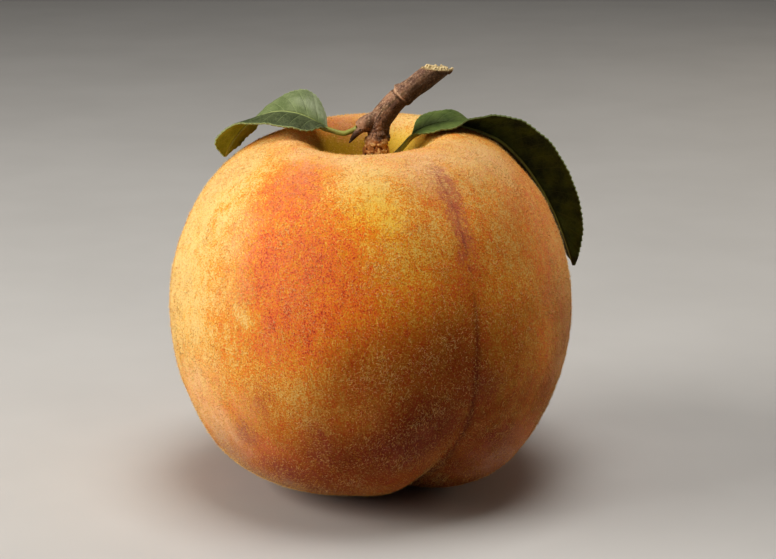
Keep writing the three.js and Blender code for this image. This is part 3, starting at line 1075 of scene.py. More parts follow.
@dataclass(frozen=True)
class Bark:
    """Grey-brown bark with fine cracks and pale specks, orange-brown and corky at the foot."""

    brown: Colour = (0.45, 0.25, 0.15)
    plum: Colour = (0.15, 0.08, 0.062)
    shade: Colour = (0.085, 0.05, 0.026)
    olive: Colour = (0.12, 0.085, 0.032)
    crack: Colour = (0.03, 0.014, 0.008)
    tan: Colour = (0.74, 0.5, 0.34)
    cork: Colour = (0.76, 0.43, 0.15)
    rust: Colour = (0.43, 0.17, 0.045)
    wood: Colour = (0.8, 0.64, 0.36)
    torn_gap_shade: Colour = (0.3, 0.19, 0.085)
    bud: Patch = Patch((-3.5, -0.9, 67.7), (1.7, 1.6, 2.2), 0.95)  # the dark bud

    # The side away from the light, by its turn in radians, is shaded. The other has more specks.
    behind_phase: float = 1.35
    behind: Fade = Fade(0.6, -0.35, 0, 0.9)
    facing: Fade = Fade(-0.2, 0.65, 0.3, 1)
    moss_share: float = 0.7
    speck_share: float = 0.74
    scale_share: float = 0.58
    pit_share: float = 0.85
    line_share: float = 0.75

    # The ring scar, by its place along the twig: a thin crescent on the left, with painted shadow in the
    # groove below it. Past the scar, the painted shade on the side away from the light reaches further
    # round.
    scar: float = 23.5
    scar_bend: float = 0.45
    scar_phase: float = 0.6
    shade_past_scar: Fade = Fade(23.5, 26, 0, 0.45)
    left_phase: float = 0.9
    left: Fade = Fade(0.1, 0.8)
    crescent: Fade = Fade(0.3, 0.1)
    crescent_share: float = 0.8
    groove: Fade = Fade(0.34, 0.05)
    groove_below: float = 0.55
    groove_left: Fade = Fade(0, 1, 0.15, 0.65)

    # The cork ends unevenly at this height, and is tan where it stands out and dark in its gaps, as painted
    # shade.
    cork_wander: float = 5.0
    cork_height: Fade = Fade(68.3, 66.1)
    cork_near: Fade = Fade(1.3, 0.8)
    flake_wander: float = 0.9
    flake: Fade = Fade(0.05, 0.3)
    flake_gap_shade: Fade = Fade(-0.04, -0.24)

    # The torn end: pale wood, with painted shade where it is broken off deepest, between the fibres.
    torn_wander: float = 0.8
    torn_shade: Fade = Fade(0.18, -0.12)
    dullness: Fade = Fade(0, 1, 0.74, 0.86)
    relief_depth: float = 0.20

    def material(self, effects: Effects) -> Finish:
        """Wires the bark.

        Args:
            effects: The shared effects.

        Returns:
            The finished material.
        """
        surface = Surface("bark", Roughness=0.8, Specular_IOR_Level=0.25)
        board = surface.board
        place = surface.place()
        along, around, torn = board.split(surface.marked("grain"))
        stand, above, _ = board.split(surface.marked("stand"))
        fibre = board.together(board.times(along, 0.22), around)
        patchy = board.centred(board.noise(place, grain=0.9, detail=3.0, rough=0.65))

        tone = board.effect(effects.mottle, place=place, grain=2.4, low=0.35, high=0.68)
        mossy = board.effect(effects.mottle, place=fibre, grain=1.5, low=0.48, high=0.72)
        bark = board.blend(tone, self.brown, self.plum)
        bark = board.blend(board.times(mossy, self.moss_share), bark, self.olive)
        behind = self._turned(board, around, self.behind_phase)
        behind = board.math("SUBTRACT", behind, board.fade(along, self.shade_past_scar))
        bark = board.blend(board.fade(behind, self.behind), bark, self.shade)

        # Specks of tan on the lit side, pits, and cracks along the fibres.
        facing = board.fade(behind, self.facing)
        specks = board.effect(effects.flecks, place=place, cell=0.42, radius=0.4, share=0.55)
        bark = board.blend(board.times(specks, facing, self.speck_share), bark, self.tan)
        pits = board.effect(effects.flecks, place=place, cell=0.6, radius=0.34, share=0.3)
        bark = board.blend(board.times(pits, self.pit_share), bark, self.crack)
        lines = board.effect(effects.mottle, place=fibre, grain=0.36, low=0.54, high=0.72)
        bark = board.blend(board.times(lines, self.line_share), bark, self.crack)

        bark = self._scarred(board, bark, along, around)
        scales = board.effect(effects.mottle, place=place, grain=0.38, low=0.48, high=0.72)
        bark = board.blend(board.times(scales, facing, self.scale_share), bark, self.tan)

        height = board.plus(board.split(place)[2], patchy, self.cork_wander)
        corky = board.times(board.fade(height, self.cork_height), board.fade(stand, self.cork_near))
        uneven = board.plus(stand, patchy, self.flake_wander)
        flaky = board.blend(board.fade(uneven, self.flake), self.rust, self.cork)
        flaky = board.blend(board.fade(uneven, self.flake_gap_shade), flaky, self.crack)
        bark = board.blend(corky, bark, flaky)
        bud = {"centre": self.bud.centre, "reach": self.bud.reach, "wobble": 0.0}
        dark = board.effect(effects.patch, place=place, **bud)
        bark = board.blend(board.times(dark, self.bud.strength), bark, self.crack)

        gaps = board.plus(above, patchy, self.torn_wander)
        fresh = board.blend(board.fade(gaps, self.torn_shade), self.wood, self.torn_gap_shade)
        surface.set("Base Color", board.blend(torn, bark, fresh))
        surface.set("Roughness", board.fade(tone, self.dullness))
        fine = board.noise(place, grain=0.22, detail=3.0, rough=0.65)
        surface.relief(board.plus(fine, lines, -0.8), self.relief_depth)
        return surface.material

    @staticmethod
    def _turned(board: Board, around: Socket, phase: float) -> Socket:
        """1 on the side of the twig that a phase turns to, and -1 on the other side."""
        return board.math("COSINE", board.math("MULTIPLY_ADD", around, 1 / TWIG_RADIUS, phase))

    def _scarred(self, board: Board, bark: Socket, along: Socket, around: Socket) -> Socket:
        """Lays the ring scar and painted shadow in the groove below it.

        Args:
            board: The bark's board.
            bark: The colour so far.
            along: Millimetres along the twig.
            around: Millimetres round it.

        Returns:
            The colour.
        """
        bent = board.plus(along, self._turned(board, around, self.scar_phase), self.scar_bend)
        off_scar = board.math("SUBTRACT", bent, self.scar)
        left = board.fade(self._turned(board, around, self.left_phase), self.left)
        crescent = board.times(left, board.fade(board.size(off_scar), self.crescent), self.crescent_share)
        bark = board.blend(crescent, bark, self.tan)
        below = board.size(board.math("ADD", off_scar, self.groove_below))
        groove = board.times(board.fade(below, self.groove), board.fade(left, self.groove_left))
        return board.blend(groove, bark, self.crack)


@dataclass(frozen=True)
class LeafFace:
    """One face of a leaf: its green, its paler veins and the fine net between them.

    Lengths along the leaf are in millimetres from the stalk's foot. Across, the near edge is -1,
    the midrib 0 and the far edge 1.
    """

    name: str
    green: Colour
    deep: Colour
    vein: Colour
    tip: Colour
    gloss: float
    net: float
    yellowing: Fade  # along the leaf, towards its tip
    vein_depth: float = 0.18
    pitch: float = 2.5
    slant: float = 3.6
    slant_bend: float = 0.8
    stagger: float = 0.45
    vein_share: float = 0.35
    vein_width: Fade = Fade(0, 1, 0.075, 0.035)
    vein_end: Fade = Fade(0.98, 0.7)
    midrib: Fade = Fade(0.34, 0.06)
    net_cells: float = 1.15  # to a millimetre
    net_width: Fade = Fade(0.09, 0)
    crinkle_share: float = 0.22
    rib: Colour | None = None  # the midrib, where it isn't the colour of the veins
    near_half_shade: float = 1.0  # painted shade: how bright the near half is beside the far half
    near_edge: float = -0.25
    far_edge: float = 0.05
    painted_sheen: float = 0.0  # a painted greyish sheen on the far half near the stalk
    sheen_tone: Colour = (0.37, 0.41, 0.28)
    sheen_along: Fade = Fade(19, 10)
    sheen_across: Fade = Fade(0.1, 0.5)
    sheen_broken: Fade = Fade(0.2, 0.9, 1, 0.35)
    edge: Fade = Fade(0.955, 0.985)
    edge_share: float = 0.85
    tip_broken: Fade = Fade(0.2, 0.8)

    def material(self, effects: Effects) -> Finish:
        """Wires the face.

        Args:
            effects: The shared effects.

        Returns:
            The finished material.
        """
        surface = Surface(self.name, Roughness=self.gloss, Specular_IOR_Level=0.3)
        board = surface.board
        place = surface.place()
        along, across, reach = board.split(surface.marked("blade"))
        side = board.size(across)

        tone = board.effect(effects.mottle, place=place, grain=3.2, low=0.3, high=0.7)
        leaf = board.blend(tone, self.green, self.deep)
        # Painted shade on the near half, which is turned from the light.
        if self.near_half_shade < 1.0:
            halves = board.fade(across, Fade(self.near_edge, self.far_edge, self.near_half_shade, 1.0))
            leaf = board.blend(1.0, leaf, board.together(halves, halves, halves), "MULTIPLY")

        crinkle = board.effect(effects.mottle, place=place, grain=0.55, low=0.5, high=0.75)
        lines = board.math("MAXIMUM", self._veins(board, along, across), self._net(board, along, reach))
        lines = board.math("MAXIMUM", lines, board.times(crinkle, self.crinkle_share))
        midrib = board.fade(board.size(reach), self.midrib)
        leaf = board.blend(lines, leaf, self.vein)
        leaf = board.blend(midrib, leaf, self.rib or self.vein)
        # A painted sheen, greyish, on the far half near the stalk.
        if self.painted_sheen:
            sheen_mask = board.times(
                board.fade(along, self.sheen_along),
                board.fade(across, self.sheen_across),
                board.fade(tone, self.sheen_broken),
                self.painted_sheen,
            )
            leaf = board.blend(sheen_mask, leaf, self.sheen_tone)

        # The very edge is paler, partly as a pale margin and partly as a painted rim of light where it
        # catches the light, and the tip yellows.
        leaf = board.blend(board.times(board.fade(side, self.edge), self.edge_share), leaf, self.vein)
        yellow = board.times(board.fade(along, self.yellowing), board.fade(tone, self.tip_broken))
        surface.set("Base Color", board.blend(yellow, leaf, self.tip))
        dullness = Fade(0, 1, self.gloss - 0.04, self.gloss + 0.08)
        surface.set("Roughness", board.fade(tone, dullness))
        fine = board.times(board.noise(place, grain=0.35, detail=2.0, rough=0.6), 0.5)
        height = board.math("SUBTRACT", fine, board.math("MAXIMUM", lines, midrib))
        surface.relief(height, self.vein_depth, 0.9)
        return surface.material

    def _veins(self, board: Board, along: Socket, across: Socket) -> Socket:
        """The side veins, which leave the midrib at a slant and bend towards the tip.

        Args:
            board: The face's board.
            along: Millimetres along the leaf.
            across: The share of the way from the midrib to the edge.

        Returns:
            The mask.
        """
        side = board.size(across)
        slant = board.times(board.math("POWER", side, self.slant_bend), self.slant)
        swept = board.math("DIVIDE", board.math("SUBTRACT", along, slant), self.pitch)
        far = board.math("GREATER_THAN", across, 0.0)
        phase = board.math("FRACT", board.math("ADD", swept, board.times(far, self.stagger)))
        nearness = board.size(board.centred(phase))
        veins = board.range(nearness, board.fade(side, self.vein_width), 0.0)
        return board.times(veins, board.fade(side, self.vein_end), self.vein_share)

    def _net(self, board: Board, along: Socket, reach: Socket) -> Socket:
        """The net of fine veins.

        Args:
            board: The face's board.
            along: Millimetres along the leaf.
            reach: Millimetres from the midrib.

        Returns:
            The mask.
        """
        cells = board.add("ShaderNodeTexVoronoi", feature="DISTANCE_TO_EDGE")
        board.feed(cells.inputs["Vector"], board.together(along, reach))
        cells.inputs["Scale"].default_value = self.net_cells
        return board.times(board.fade(cells.outputs["Distance"], self.net_width), self.net)


@dataclass(frozen=True)
class Stalk:
    """The green of a leaf's stalk and of the rib under its blade."""

    green: Colour = (0.33, 0.35, 0.075)
    brown: Colour = (0.24, 0.14, 0.05)
    brown_share: float = 0.6

    def material(self, effects: Effects) -> Finish:
        """Wires the stalk.

        Args:
            effects: The shared effects.

        Returns:
            The finished material.
        """
        surface = Surface("leaf_stalk", Roughness=0.5, Specular_IOR_Level=0.4)
        board = surface.board
        place = surface.place()
        tone = board.effect(effects.mottle, place=place, grain=1.6, low=0.45, high=0.75)
        surface.set("Base Color", board.blend(board.times(tone, self.brown_share), self.green, self.brown))
        surface.relief(board.noise(place, grain=0.3), depth=0.05, strength=0.5)
        return surface.material


@dataclass(frozen=True)
class Hair:
    """One tone of the down. Each hair is far thinner than any pattern, so its tone is plain."""

    name: str
    tone: Colour
    count: int
    length: Pair
    radius: float
    drifting: float  # how much thicker it grows in drifts, from 0 to 1

    def material(self) -> Finish:
        """Makes the tone."""
        surface = Surface(self.name, Roughness=0.7, Specular_IOR_Level=0.2)
        surface.set("Base Color", self.tone)
        return surface.material


@dataclass(frozen=True)
class StudioFloor:
    """A pale paper floor with a trace of unevenness."""

    light: Colour = (0.6, 0.59, 0.575)
    dark: Colour = (0.56, 0.55, 0.535)

    def material(self, effects: Effects) -> Finish:
        """Wires the floor.

        Args:
            effects: The shared effects.

        Returns:
            The finished material.
        """
        surface = Surface("studio_floor", Roughness=0.7, Specular_IOR_Level=0.2)
        board = surface.board
        tone = board.effect(effects.mottle, place=surface.place(), grain=60.0, low=0.2, high=0.8)
        surface.set("Base Color", board.blend(tone, self.light, self.dark))
        return surface.material


# -------- fruit


@dataclass
class Fruit:
    """The fruit's skin: the stem hollow, the shoulders, the seam with its crease, and the lobes."""

    section: tuple[Row, ...] = (
        (0, 55.5), (3.2, 55.8), (5.7, 59.2), (8.9, 64.3), (13.9, 67.9),
        (19.4, 67.1), (25.9, 63.6), (33.1, 55.2), (37.7, 42.5), (38.1, 29.4),
        (34.9, 17.7), (29.1, 7.9), (19.8, 2.4), (9.5, 0), (0, 0),
    )
    lean: float = -0.4
    round_from: float = 20.0
    seam_depth: float = 0.6
    seam_base_depth: float = 4.3
    seam_half_width: float = 11.7
    underside: float = 14.2
    underside_fade: float = 4.0
    lobes_from: float = 6.0
    lobes_over: float = 12.0
    # Each lobe as its angle from the seam, its half width and its lift.
    lobes: tuple[Row, ...] = ((0, 17.2, 2.0), (28.6, 8.6, -0.7), (-34.4, 21.8, 0.8))
    shoulder_radius: float = 18.0
    shoulder_half_width: float = 10.0
    shoulder_from: float = 45.0
    shoulder_fade: float = 15.0
    shoulder_right: float = 0.52
    shoulder_back: float = 1.1
    # The crease is the sharp line in the bottom of the seam.
    crease_depth: float = 0.10
    crease_base_depth: float = 1.1
    crease_half_width: float = 0.75
    # The skin is a little uneven in broad and in small lumps, except where it rests.
    unevenness: float = 0.10
    broad_lump: float = 9.0
    small_lump: float = 3.2
    small_share: float = 0.35
    even_below: Pair = (1.0, 8.0)
    middle: Row = (0.0, 0.0, 34.0)
    columns: int = 300
    rows: int = 180
    crowding: float = 0.55  # how much closer the columns stand near the seam than far from it

    def skin(self, down: np.ndarray, angle: np.ndarray) -> np.ndarray:
        """Places on the skin.

        Args:
            down: Shares of the way down the section, from the hollow's floor to the base.
            angle: Degrees from the front towards the right.

        Returns:
            The places in millimetres.
        """
        radius, height = Route(self.section).at(down).T
        round_share = np.clip(radius / self.round_from, 0, 1)
        low = 1 / (1 + np.exp((height - self.underside) / self.underside_fade))
        from_seam = (angle - SEAM_ANGLE + 180) % 360 - 180
        beside = np.radians(from_seam) * np.maximum(radius, 1.0)

        depth = self.seam_depth + self.seam_base_depth * low
        groove = depth * bump(from_seam, self.seam_half_width)
        crease = self.crease_depth + self.crease_base_depth * low
        groove += crease * np.exp(-np.abs(beside / self.crease_half_width))
        outer = np.maximum(0, radius - round_share * groove)
        lobe = sum(lift * bump(from_seam - at, width) for at, width, lift in self.lobes)
        shoulder = bump(radius - self.shoulder_radius, self.shoulder_half_width)
        shoulder *= np.clip((height - self.shoulder_from) / self.shoulder_fade, 0, 1)
        sine, cosine = np.sin(np.radians(angle)), np.cos(np.radians(angle))
        off_flat = np.clip((radius - self.lobes_from) / self.lobes_over, 0, 1)
        raised = off_flat * low * lobe
        raised += shoulder * (self.shoulder_right * sine - self.shoulder_back * cosine)
        return np.column_stack(
            [
                outer * sine + round_share * self.lean,
                -outer * cosine,
                np.maximum(0, height + raised),
            ]
        )

    def build(self, finish: Finish) -> Piece:
        """Shapes a ball into the fruit.

        Args:
            finish: The skin's material.

        Returns:
            The fruit.
        """
        piece = Bench.ball("peach_skin", self.columns, self.rows)
        ball = Bench.points(piece)
        down = np.arccos(np.clip(ball[:, 2], -1, 1)) / math.pi
        turn = np.arctan2(ball[:, 0], -ball[:, 1])
        angle = SEAM_ANGLE + np.degrees(turn - self.crowding * np.sin(turn))
        points = self.skin(down, angle)
        lifted = smooth(points[:, 2], *self.even_below) * self.unevenness
        away = unit(points - np.array(self.middle))
        uneven = rough(points, self.broad_lump, seed=3)
        uneven += self.small_share * rough(points, self.small_lump, seed=4)
        points += away * (uneven * lifted)[:, None]
        Bench.place(piece, points * MM)
        Bench.outward(piece)
        Bench.soften(piece, 60)
        Bench.dress(piece, finish)
        hand_over(piece, "downy_skin", "fruit")
        return piece


class Tone(Enum):
    """The tones of the down, from the palest."""

    SILVER = Hair("down_silver", (0.98, 0.74, 0.35), 44000, (0.42, 0.9), 0.036, 1.0)
    CREAM = Hair("down_cream", (0.96, 0.62, 0.18), 48000, (0.32, 0.72), 0.028, 0.5)
    HONEY = Hair("down_honey", (0.84, 0.41, 0.05), 32000, (0.3, 0.7), 0.026, 0.2)
    RUSSET = Hair("down_russet", (0.6, 0.2, 0.05), 30000, (0.3, 0.65), 0.028, 0.0)


@dataclass
class Down:
    """The short hairs that cover the skin, in drifts that lie the same way."""

    lean: Pair = (35.0, 78.0)  # degrees from upright
    bend: float = 0.8  # how far a tip leans over, in radii of the root
    sunk: float = 0.02  # how deep a root stands in the skin
    thickness: Pair = (0.75, 1.2)
    lie_size: float = 5.72  # size of the stretches where the hairs lie the same way
    lie_turn: float = 180.0  # degrees that the lie turns between them at most
    tuft_size: float = 2.6  # size of the stretches where the hairs are longer
    tuft_share: float = 0.28
    drift_size: float = 8.0  # size of the drifts where the pale hairs are thick
    drift_edge: Pair = (-0.15, 0.45)
    drift_share: float = 0.8
    stray: float = 55.0  # degrees that a hair strays from its neighbours
    crown: Row = (0.13, 0.08, 0.99)  # the way that the lie is measured from
    clear_height: float = 0.8  # bare near what the fruit rests on
    hollow: float = 10.5  # bare in the middle of the stem hollow
    hollow_floor: float = 50.0
    seed: int = 11

    def pattern(self) -> Piece:
        """One hair, 1 long and 1 in radius at its root: a slim cone on three sides."""
        Bench.clear()
        bpy.ops.mesh.primitive_cone_add(vertices=3, radius1=1, radius2=0, depth=1, location=(0, 0, 0.5))
        hair = Bench.named("hair")
        Bench.edit(hair, lambda: bpy.ops.mesh.quads_convert_to_tris())
        points = Bench.points(hair) + np.array([0, 0, 0.5])
        points[points[:, 2] > 0.5, 0] += self.bend
        Bench.place(hair, points)
        return hair

    def roots(
        self, fruit: Piece, draw: np.random.Generator, hair: Hair
    ) -> tuple[np.ndarray, np.ndarray]:
        """Places for hairs, spread over the skin and denser in drifts.

        Args:
            fruit: The fruit.
            draw: The seeded draw.
            hair: The tone of the down.

        Returns:
            The roots in millimetres and the skin's normals there.
        """
        mesh = fruit.data
        mesh.calc_loop_triangles()
        corners = np.empty(len(mesh.loop_triangles) * 3, dtype=int)
        mesh.loop_triangles.foreach_get("vertices", corners)
        corners = corners.reshape(-1, 3)
        points, normals = Bench.points(fruit) / MM, Bench.normals(fruit)
        a, b, c = (points[corners[:, i]] for i in range(3))
        area = np.linalg.norm(np.cross(b - a, c - a), axis=1)
        middle = (a + b + c) / 3
        off_axis = np.hypot(middle[:, 0], middle[:, 1])
        inside = (middle[:, 2] > self.hollow_floor) & (off_axis < self.hollow)
        bare = inside | (middle[:, 2] < self.clear_height)
        drifts = smooth(rough(middle, self.drift_size, seed=14), *self.drift_edge)
        weight = np.where(bare, 0, area) * (1 - hair.drifting * (1 - drifts) * self.drift_share)
        chosen = draw.choice(len(corners), size=hair.count, p=weight / weight.sum())
        u, v = draw.random((2, hair.count))
        over = u + v > 1
        u[over], v[over] = 1 - u[over], 1 - v[over]
        mix = np.column_stack([1 - u - v, u, v])
        roots = np.einsum("nk,nkj->nj", mix, points[corners[chosen]])
        return roots, unit(np.einsum("nk,nkj->nj", mix, normals[corners[chosen]]))

    def build(self, fruit: Piece) -> None:
        """Grows every tone of the down.

        Args:
            fruit: The fruit that it grows on.
        """
        for number, tone in enumerate(Tone):
            hair = tone.value
            draw = np.random.default_rng(self.seed + number)
            roots, normals = self.roots(fruit, draw, hair)
            level = unit(np.cross(normals, np.array(self.crown)))
            upward = np.cross(level, normals)
            lie = self.lie_turn * rough(roots, self.lie_size, seed=6)
            turn = np.radians(lie + draw.normal(0, self.stray, hair.count))[:, None]
            sideways = level * np.cos(turn) + upward * np.sin(turn)
            lean = np.radians(draw.uniform(*self.lean, hair.count))[:, None]
            tufts = np.clip(rough(roots, self.tuft_size, seed=8) * 2, -1, 1)
            tufts = 1 - self.tuft_share + self.tuft_share * tufts
            length = (draw.uniform(*hair.length, hair.count) * tufts)[:, None]
            axis = normals * np.cos(lean) + sideways * np.sin(lean)
            first = unit(np.cross(axis, normals) + 1e-9)
            second = np.cross(axis, first)
            radius = hair.radius * draw.uniform(*self.thickness, hair.count)[:, None]
            kept = (roots + axis * length)[:, 2] > self.clear_height / 2
            frames = np.stack([first * radius, second * radius, axis * length], axis=1)
            places = roots - normals * self.sunk
            piece = Bench.copies(hair.name, self.pattern(), places[kept] * MM, frames[kept] * MM)
            Bench.dress(piece, hair.material())
            hand_over(piece, "downy_skin")


# -------- twig


@dataclass
class Twig:
    """The twig with its corky foot, ring scar and torn end, and the spur and bud on its left."""

    route: tuple[Row, ...] = (
        (0, 0, 53.6, 2.0), (0, 0, 56.2, 2.2), (0.1, 0, 60.0, 2.3), (0.4, 0, 64.0, 2.35),
        (0.9, 0.1, 66.9, 2.0), (1.3, 0.3, 68.6, 1.85), (1.6, 0.6, 70.8, 2.1),
        (3.3, 1.1, 73.1, 2.05), (4.9, 1.4, 74.7, 2.0), (5.8, 1.5, 75.4, 2.3),
        (6.7, 1.7, 76.0, 2.05), (9.8, 2.1, 78.3, 2.05), (11.3, 2.3, 79.5, 2.1),
    )
    spur: tuple[Row, ...] = (
        (2.3, 0.7, 71.9, 1.2), (0.4, 0.3, 70.9, 1.5), (-1.4, 0.1, 70.0, 1.5), (-2.7, 0.0, 69.3, 1.05),
    )
    bud: tuple[Row, ...] = (
        (-1.6, -0.5, 69.5, 0.75), (-2.9, -0.8, 68.5, 0.65),
        (-3.7, -0.9, 67.5, 0.45), (-4.4, -1.0, 66.6, 0.12),
    )
    break_at: Row = (12.4, 2.45, 80.15)
    break_normal: Row = (0.12, 0, 0.993)
    beyond_break: Row = (13.6, 2.7, 81.4, 2.1)  # the route runs on to here, to be cut at the break
    torn_edge: Pair = (-0.28, -0.05)
    voxel: float = 0.092
    grain_samples: int = 500  # places on the route that the grain is measured from
    grain_parts: int = 50  # the grain is worked out in as many parts, to save memory
    seed: int = 5

    # Loose chips of cork on the foot, by their half sizes across, along and outwards.
    chips: int = 120
    chip_size: Row = (0.7, 0.5, 0.34)
    chip_scale: Pair = (0.6, 1.3)
    chips_from: float = 58.0
    chips_to: float = 68.2
    chip_tilt: float = 0.30
    chip_turn: float = 0.35
    chip_sunk: float = 0.02

    # Torn fibres on the broken end, which lean a little to one side.
    knobs: int = 54
    knob_size: Row = (0.3, 0.27, 0.72)
    knob_scale: Pair = (0.6, 1.25)
    knob_half: Row = (2.53, 1.61)
    knob_stray: float = 0.22
    knob_lean: float = 0.25
    knob_sunk: float = 0.10
    splinter_size: float = 0.42
    splinter_relief: float = 0.10

    # Fibres and lumps all along the bark, by their sizes and how far they stand out.
    fibre_size: Pair = (0.75, 4.5)
    fibre_relief: float = 0.09
    lump_size: float = 2.6
    lump_relief: float = 0.10

    # Wrinkles on the neck and beside the scar.
    wrinkle_pitch: float = 0.95
    wrinkle_wander: float = 5.5
    wrinkle_relief: float = 0.08
    neck_height: float = 68.3
    neck_half: float = 1.6
    neck_left: Pair = (-1.9, -1.3)
    scar_wrinkles: float = 0.4  # beside those of the neck
    scar_wrinkles_half: float = 1.2

    # The ring scar, which slants round the twig: a ridge on the left with a groove below it.
    scar_share: float = 9 / 12
    scar_slant: float = 0.45
    scar_phase: float = 0.6
    scar_left_phase: float = 0.95
    scar_left: Pair = (0.1, 0.75)
    ridge_relief: float = 0.20
    ridge_half: float = 0.20
    groove_depth: float = 0.16
    groove_half: float = 0.30
    groove_below: float = 0.50

    # The cork on the foot, in lumps and in rings of flakes.
    cork_edge: Pair = (67.6, 64.6)
    cork_relief: float = 0.26
    cork_level: float = 0.60
    flake_pitch: float = 1.35
    flake_wander: float = 1.8
    flake_share: float = 0.35

    def stick(self, name: str, route: Sequence[Row], sides: int, rows: int) -> Piece:
        """A closed stick along a route.

        Args:
            name: Name of the piece.
            route: Places and radii.
            sides: Points round it.
            rows: Points along it.

        Returns:
            The stick.
        """
        piece = Bench.ball(name, sides, rows)
        along, turn, out = as_stick(Bench.points(piece), cap=0.1)
        path = Route(route)
        rows_at = path.at(along)
        centre, radius = rows_at[:, :3], rows_at[:, 3] * out
        heading = path.heading(along)
        first, second = self.round_about(heading)
        points = centre + first * (radius * np.cos(turn))[:, None]
        points += second * (radius * np.sin(turn))[:, None]
        Bench.place(piece, points * MM)
        Bench.outward(piece)
        return piece

    def cork(self) -> Piece:
        """The loose chips of cork round the foot: one chip, copied."""
        draw = np.random.default_rng(self.seed)
        turn = draw.uniform(0, 2 * math.pi, self.chips)
        height = draw.uniform(self.chips_from, self.chips_to, self.chips)
        tilt = draw.normal(0, self.chip_tilt, self.chips)
        out = unit(np.column_stack([np.cos(turn), np.sin(turn), tilt]))
        heights, middles, radii = np.array(self.route)[:, [2, 0, 3]].T
        places = out * (np.interp(height, heights, radii) - self.chip_sunk)[:, None]
        places += np.column_stack([np.interp(height, heights, middles), np.zeros(self.chips), height])
        upward = np.array([0, 0, 1.0]) + draw.normal(0, self.chip_turn, (self.chips, 3))
        side = unit(np.cross(out, upward))
        frames = np.stack([side, np.cross(out, side), out], axis=1)
        scale = draw.uniform(*self.chip_scale, (self.chips, 3, 1))
        frames *= np.array(self.chip_size)[None, :, None] * scale
        return Bench.copies("cork", Bench.ball("chip", 7, 5), places * MM, frames * MM)

    def fibres(self, normal: np.ndarray) -> Piece:
        """The torn fibres that stand up from the broken end: one knob, copied."""
        draw = np.random.default_rng(self.seed + 1)
        first = unit(np.cross(np.array([0.0, 1.0, 0.0]), normal))
        second = np.cross(normal, first)
        away = np.sqrt(draw.uniform(0.02, 1, self.knobs))
        turn = draw.uniform(0, 2 * math.pi, self.knobs)
        along, across = self.knob_half
        places = np.array(self.break_at) - normal * self.knob_sunk
        places = places + (away * np.cos(turn) * along)[:, None] * first
        places += (away * np.sin(turn) * across)[:, None] * second
        stray = draw.normal(0, self.knob_stray, (self.knobs, 3))
        axis = unit(normal + stray + self.knob_lean * first)
        side = unit(np.cross(axis, second))
        frames = np.stack([side, np.cross(axis, side), axis], axis=1)
        scale = draw.uniform(*self.knob_scale, (self.knobs, 3, 1))
        frames *= np.array(self.knob_size)[None, :, None] * scale
        return Bench.copies("fibres", Bench.ball("knob", 8, 6), places * MM, frames * MM)

    @staticmethod
    def round_about(heading: np.ndarray) -> tuple[np.ndarray, np.ndarray]:
        """Two directions square to each heading and to each other, the first towards the front."""
        front = np.array([0.0, -1.0, 0.0])
        first = unit(front - heading * (heading @ front)[:, None])
        return first, np.cross(heading, first)

    def grain(self, points: np.ndarray) -> np.ndarray:
        """How far along the twig and how far round it each place is.

        Args:
            points: Places in millimetres.

        Returns:
            For each place, millimetres along the route, millimetres round it, and the share of the way.
        """
        path = Route(self.route)
        shares = np.linspace(0, 1, self.grain_samples)
        samples = path.at(shares)[:, :3]
        nearest = np.empty(len(points), dtype=int)
        for part in np.array_split(np.arange(len(points)), self.grain_parts):
            gaps = ((points[part, None, :] - samples[None, :, :]) ** 2).sum(axis=2)
            nearest[part] = gaps.argmin(axis=1)
        share = shares[nearest]
        first, second = self.round_about(path.heading(share))
        offset = points - samples[nearest]
        turn = np.arctan2((offset * second).sum(axis=1), (offset * first).sum(axis=1))
        return np.column_stack([path.length_to(share), turn * TWIG_RADIUS, share])

    def relief(self, points: np.ndarray, grain: np.ndarray, torn: np.ndarray) -> np.ndarray:
        """How far each place of the bark stands out.

        Args:
            points: Places in millimetres.
            grain: What grain gives for them.
            torn: 1 on the torn end, 0 on the bark.

        Returns:
            Millimetres outwards.
        """
        along, around = grain[:, 0], grain[:, 1]
        turn, height = around / TWIG_RADIUS, points[:, 2]
        width, length = self.fibre_size
        fibre = np.column_stack([around / width, along / length, np.zeros(len(around))])
        out = self.fibre_relief * rough(fibre, 1.0, seed=1, octaves=2)
        out += self.lump_relief * rough(points, self.lump_size, seed=2)

        scar_at = Route(self.route).length_to(np.array([self.scar_share]))[0]
        off_scar = along - scar_at + self.scar_slant * np.cos(turn + self.scar_phase)
        wander = self.wrinkle_wander * rough(points, 1.5, seed=5)
        wrinkle = np.sin(2 * math.pi * along / self.wrinkle_pitch + wander)
        neck = bump(height - self.neck_height, self.neck_half) * smooth(points[:, 0], *self.neck_left)
        by_scar = self.scar_wrinkles * bump(off_scar, self.scar_wrinkles_half)
        out += self.wrinkle_relief * wrinkle * np.maximum(neck, by_scar)
        ridge = self.ridge_relief * bump(off_scar, self.ridge_half)
        groove = self.groove_depth * bump(off_scar + self.groove_below, self.groove_half)
        out += smooth(np.cos(turn + self.scar_left_phase), *self.scar_left) * (ridge - groove)

        cork = smooth(height, *self.cork_edge)
        lumps = np.abs(rough(points, 1.0, seed=7, octaves=2)) * 2 - self.cork_level
        wander = self.flake_wander * rough(points, 1.8, seed=9)
        flakes = np.sin(2 * math.pi * height / self.flake_pitch + wander)
        out += cork * self.cork_relief * (lumps + self.flake_share * flakes)
        splinter = rough(points * np.array([1, 1, 0.25]), self.splinter_size, seed=12)
        return np.where(torn > 0.5, self.splinter_relief * splinter, out)

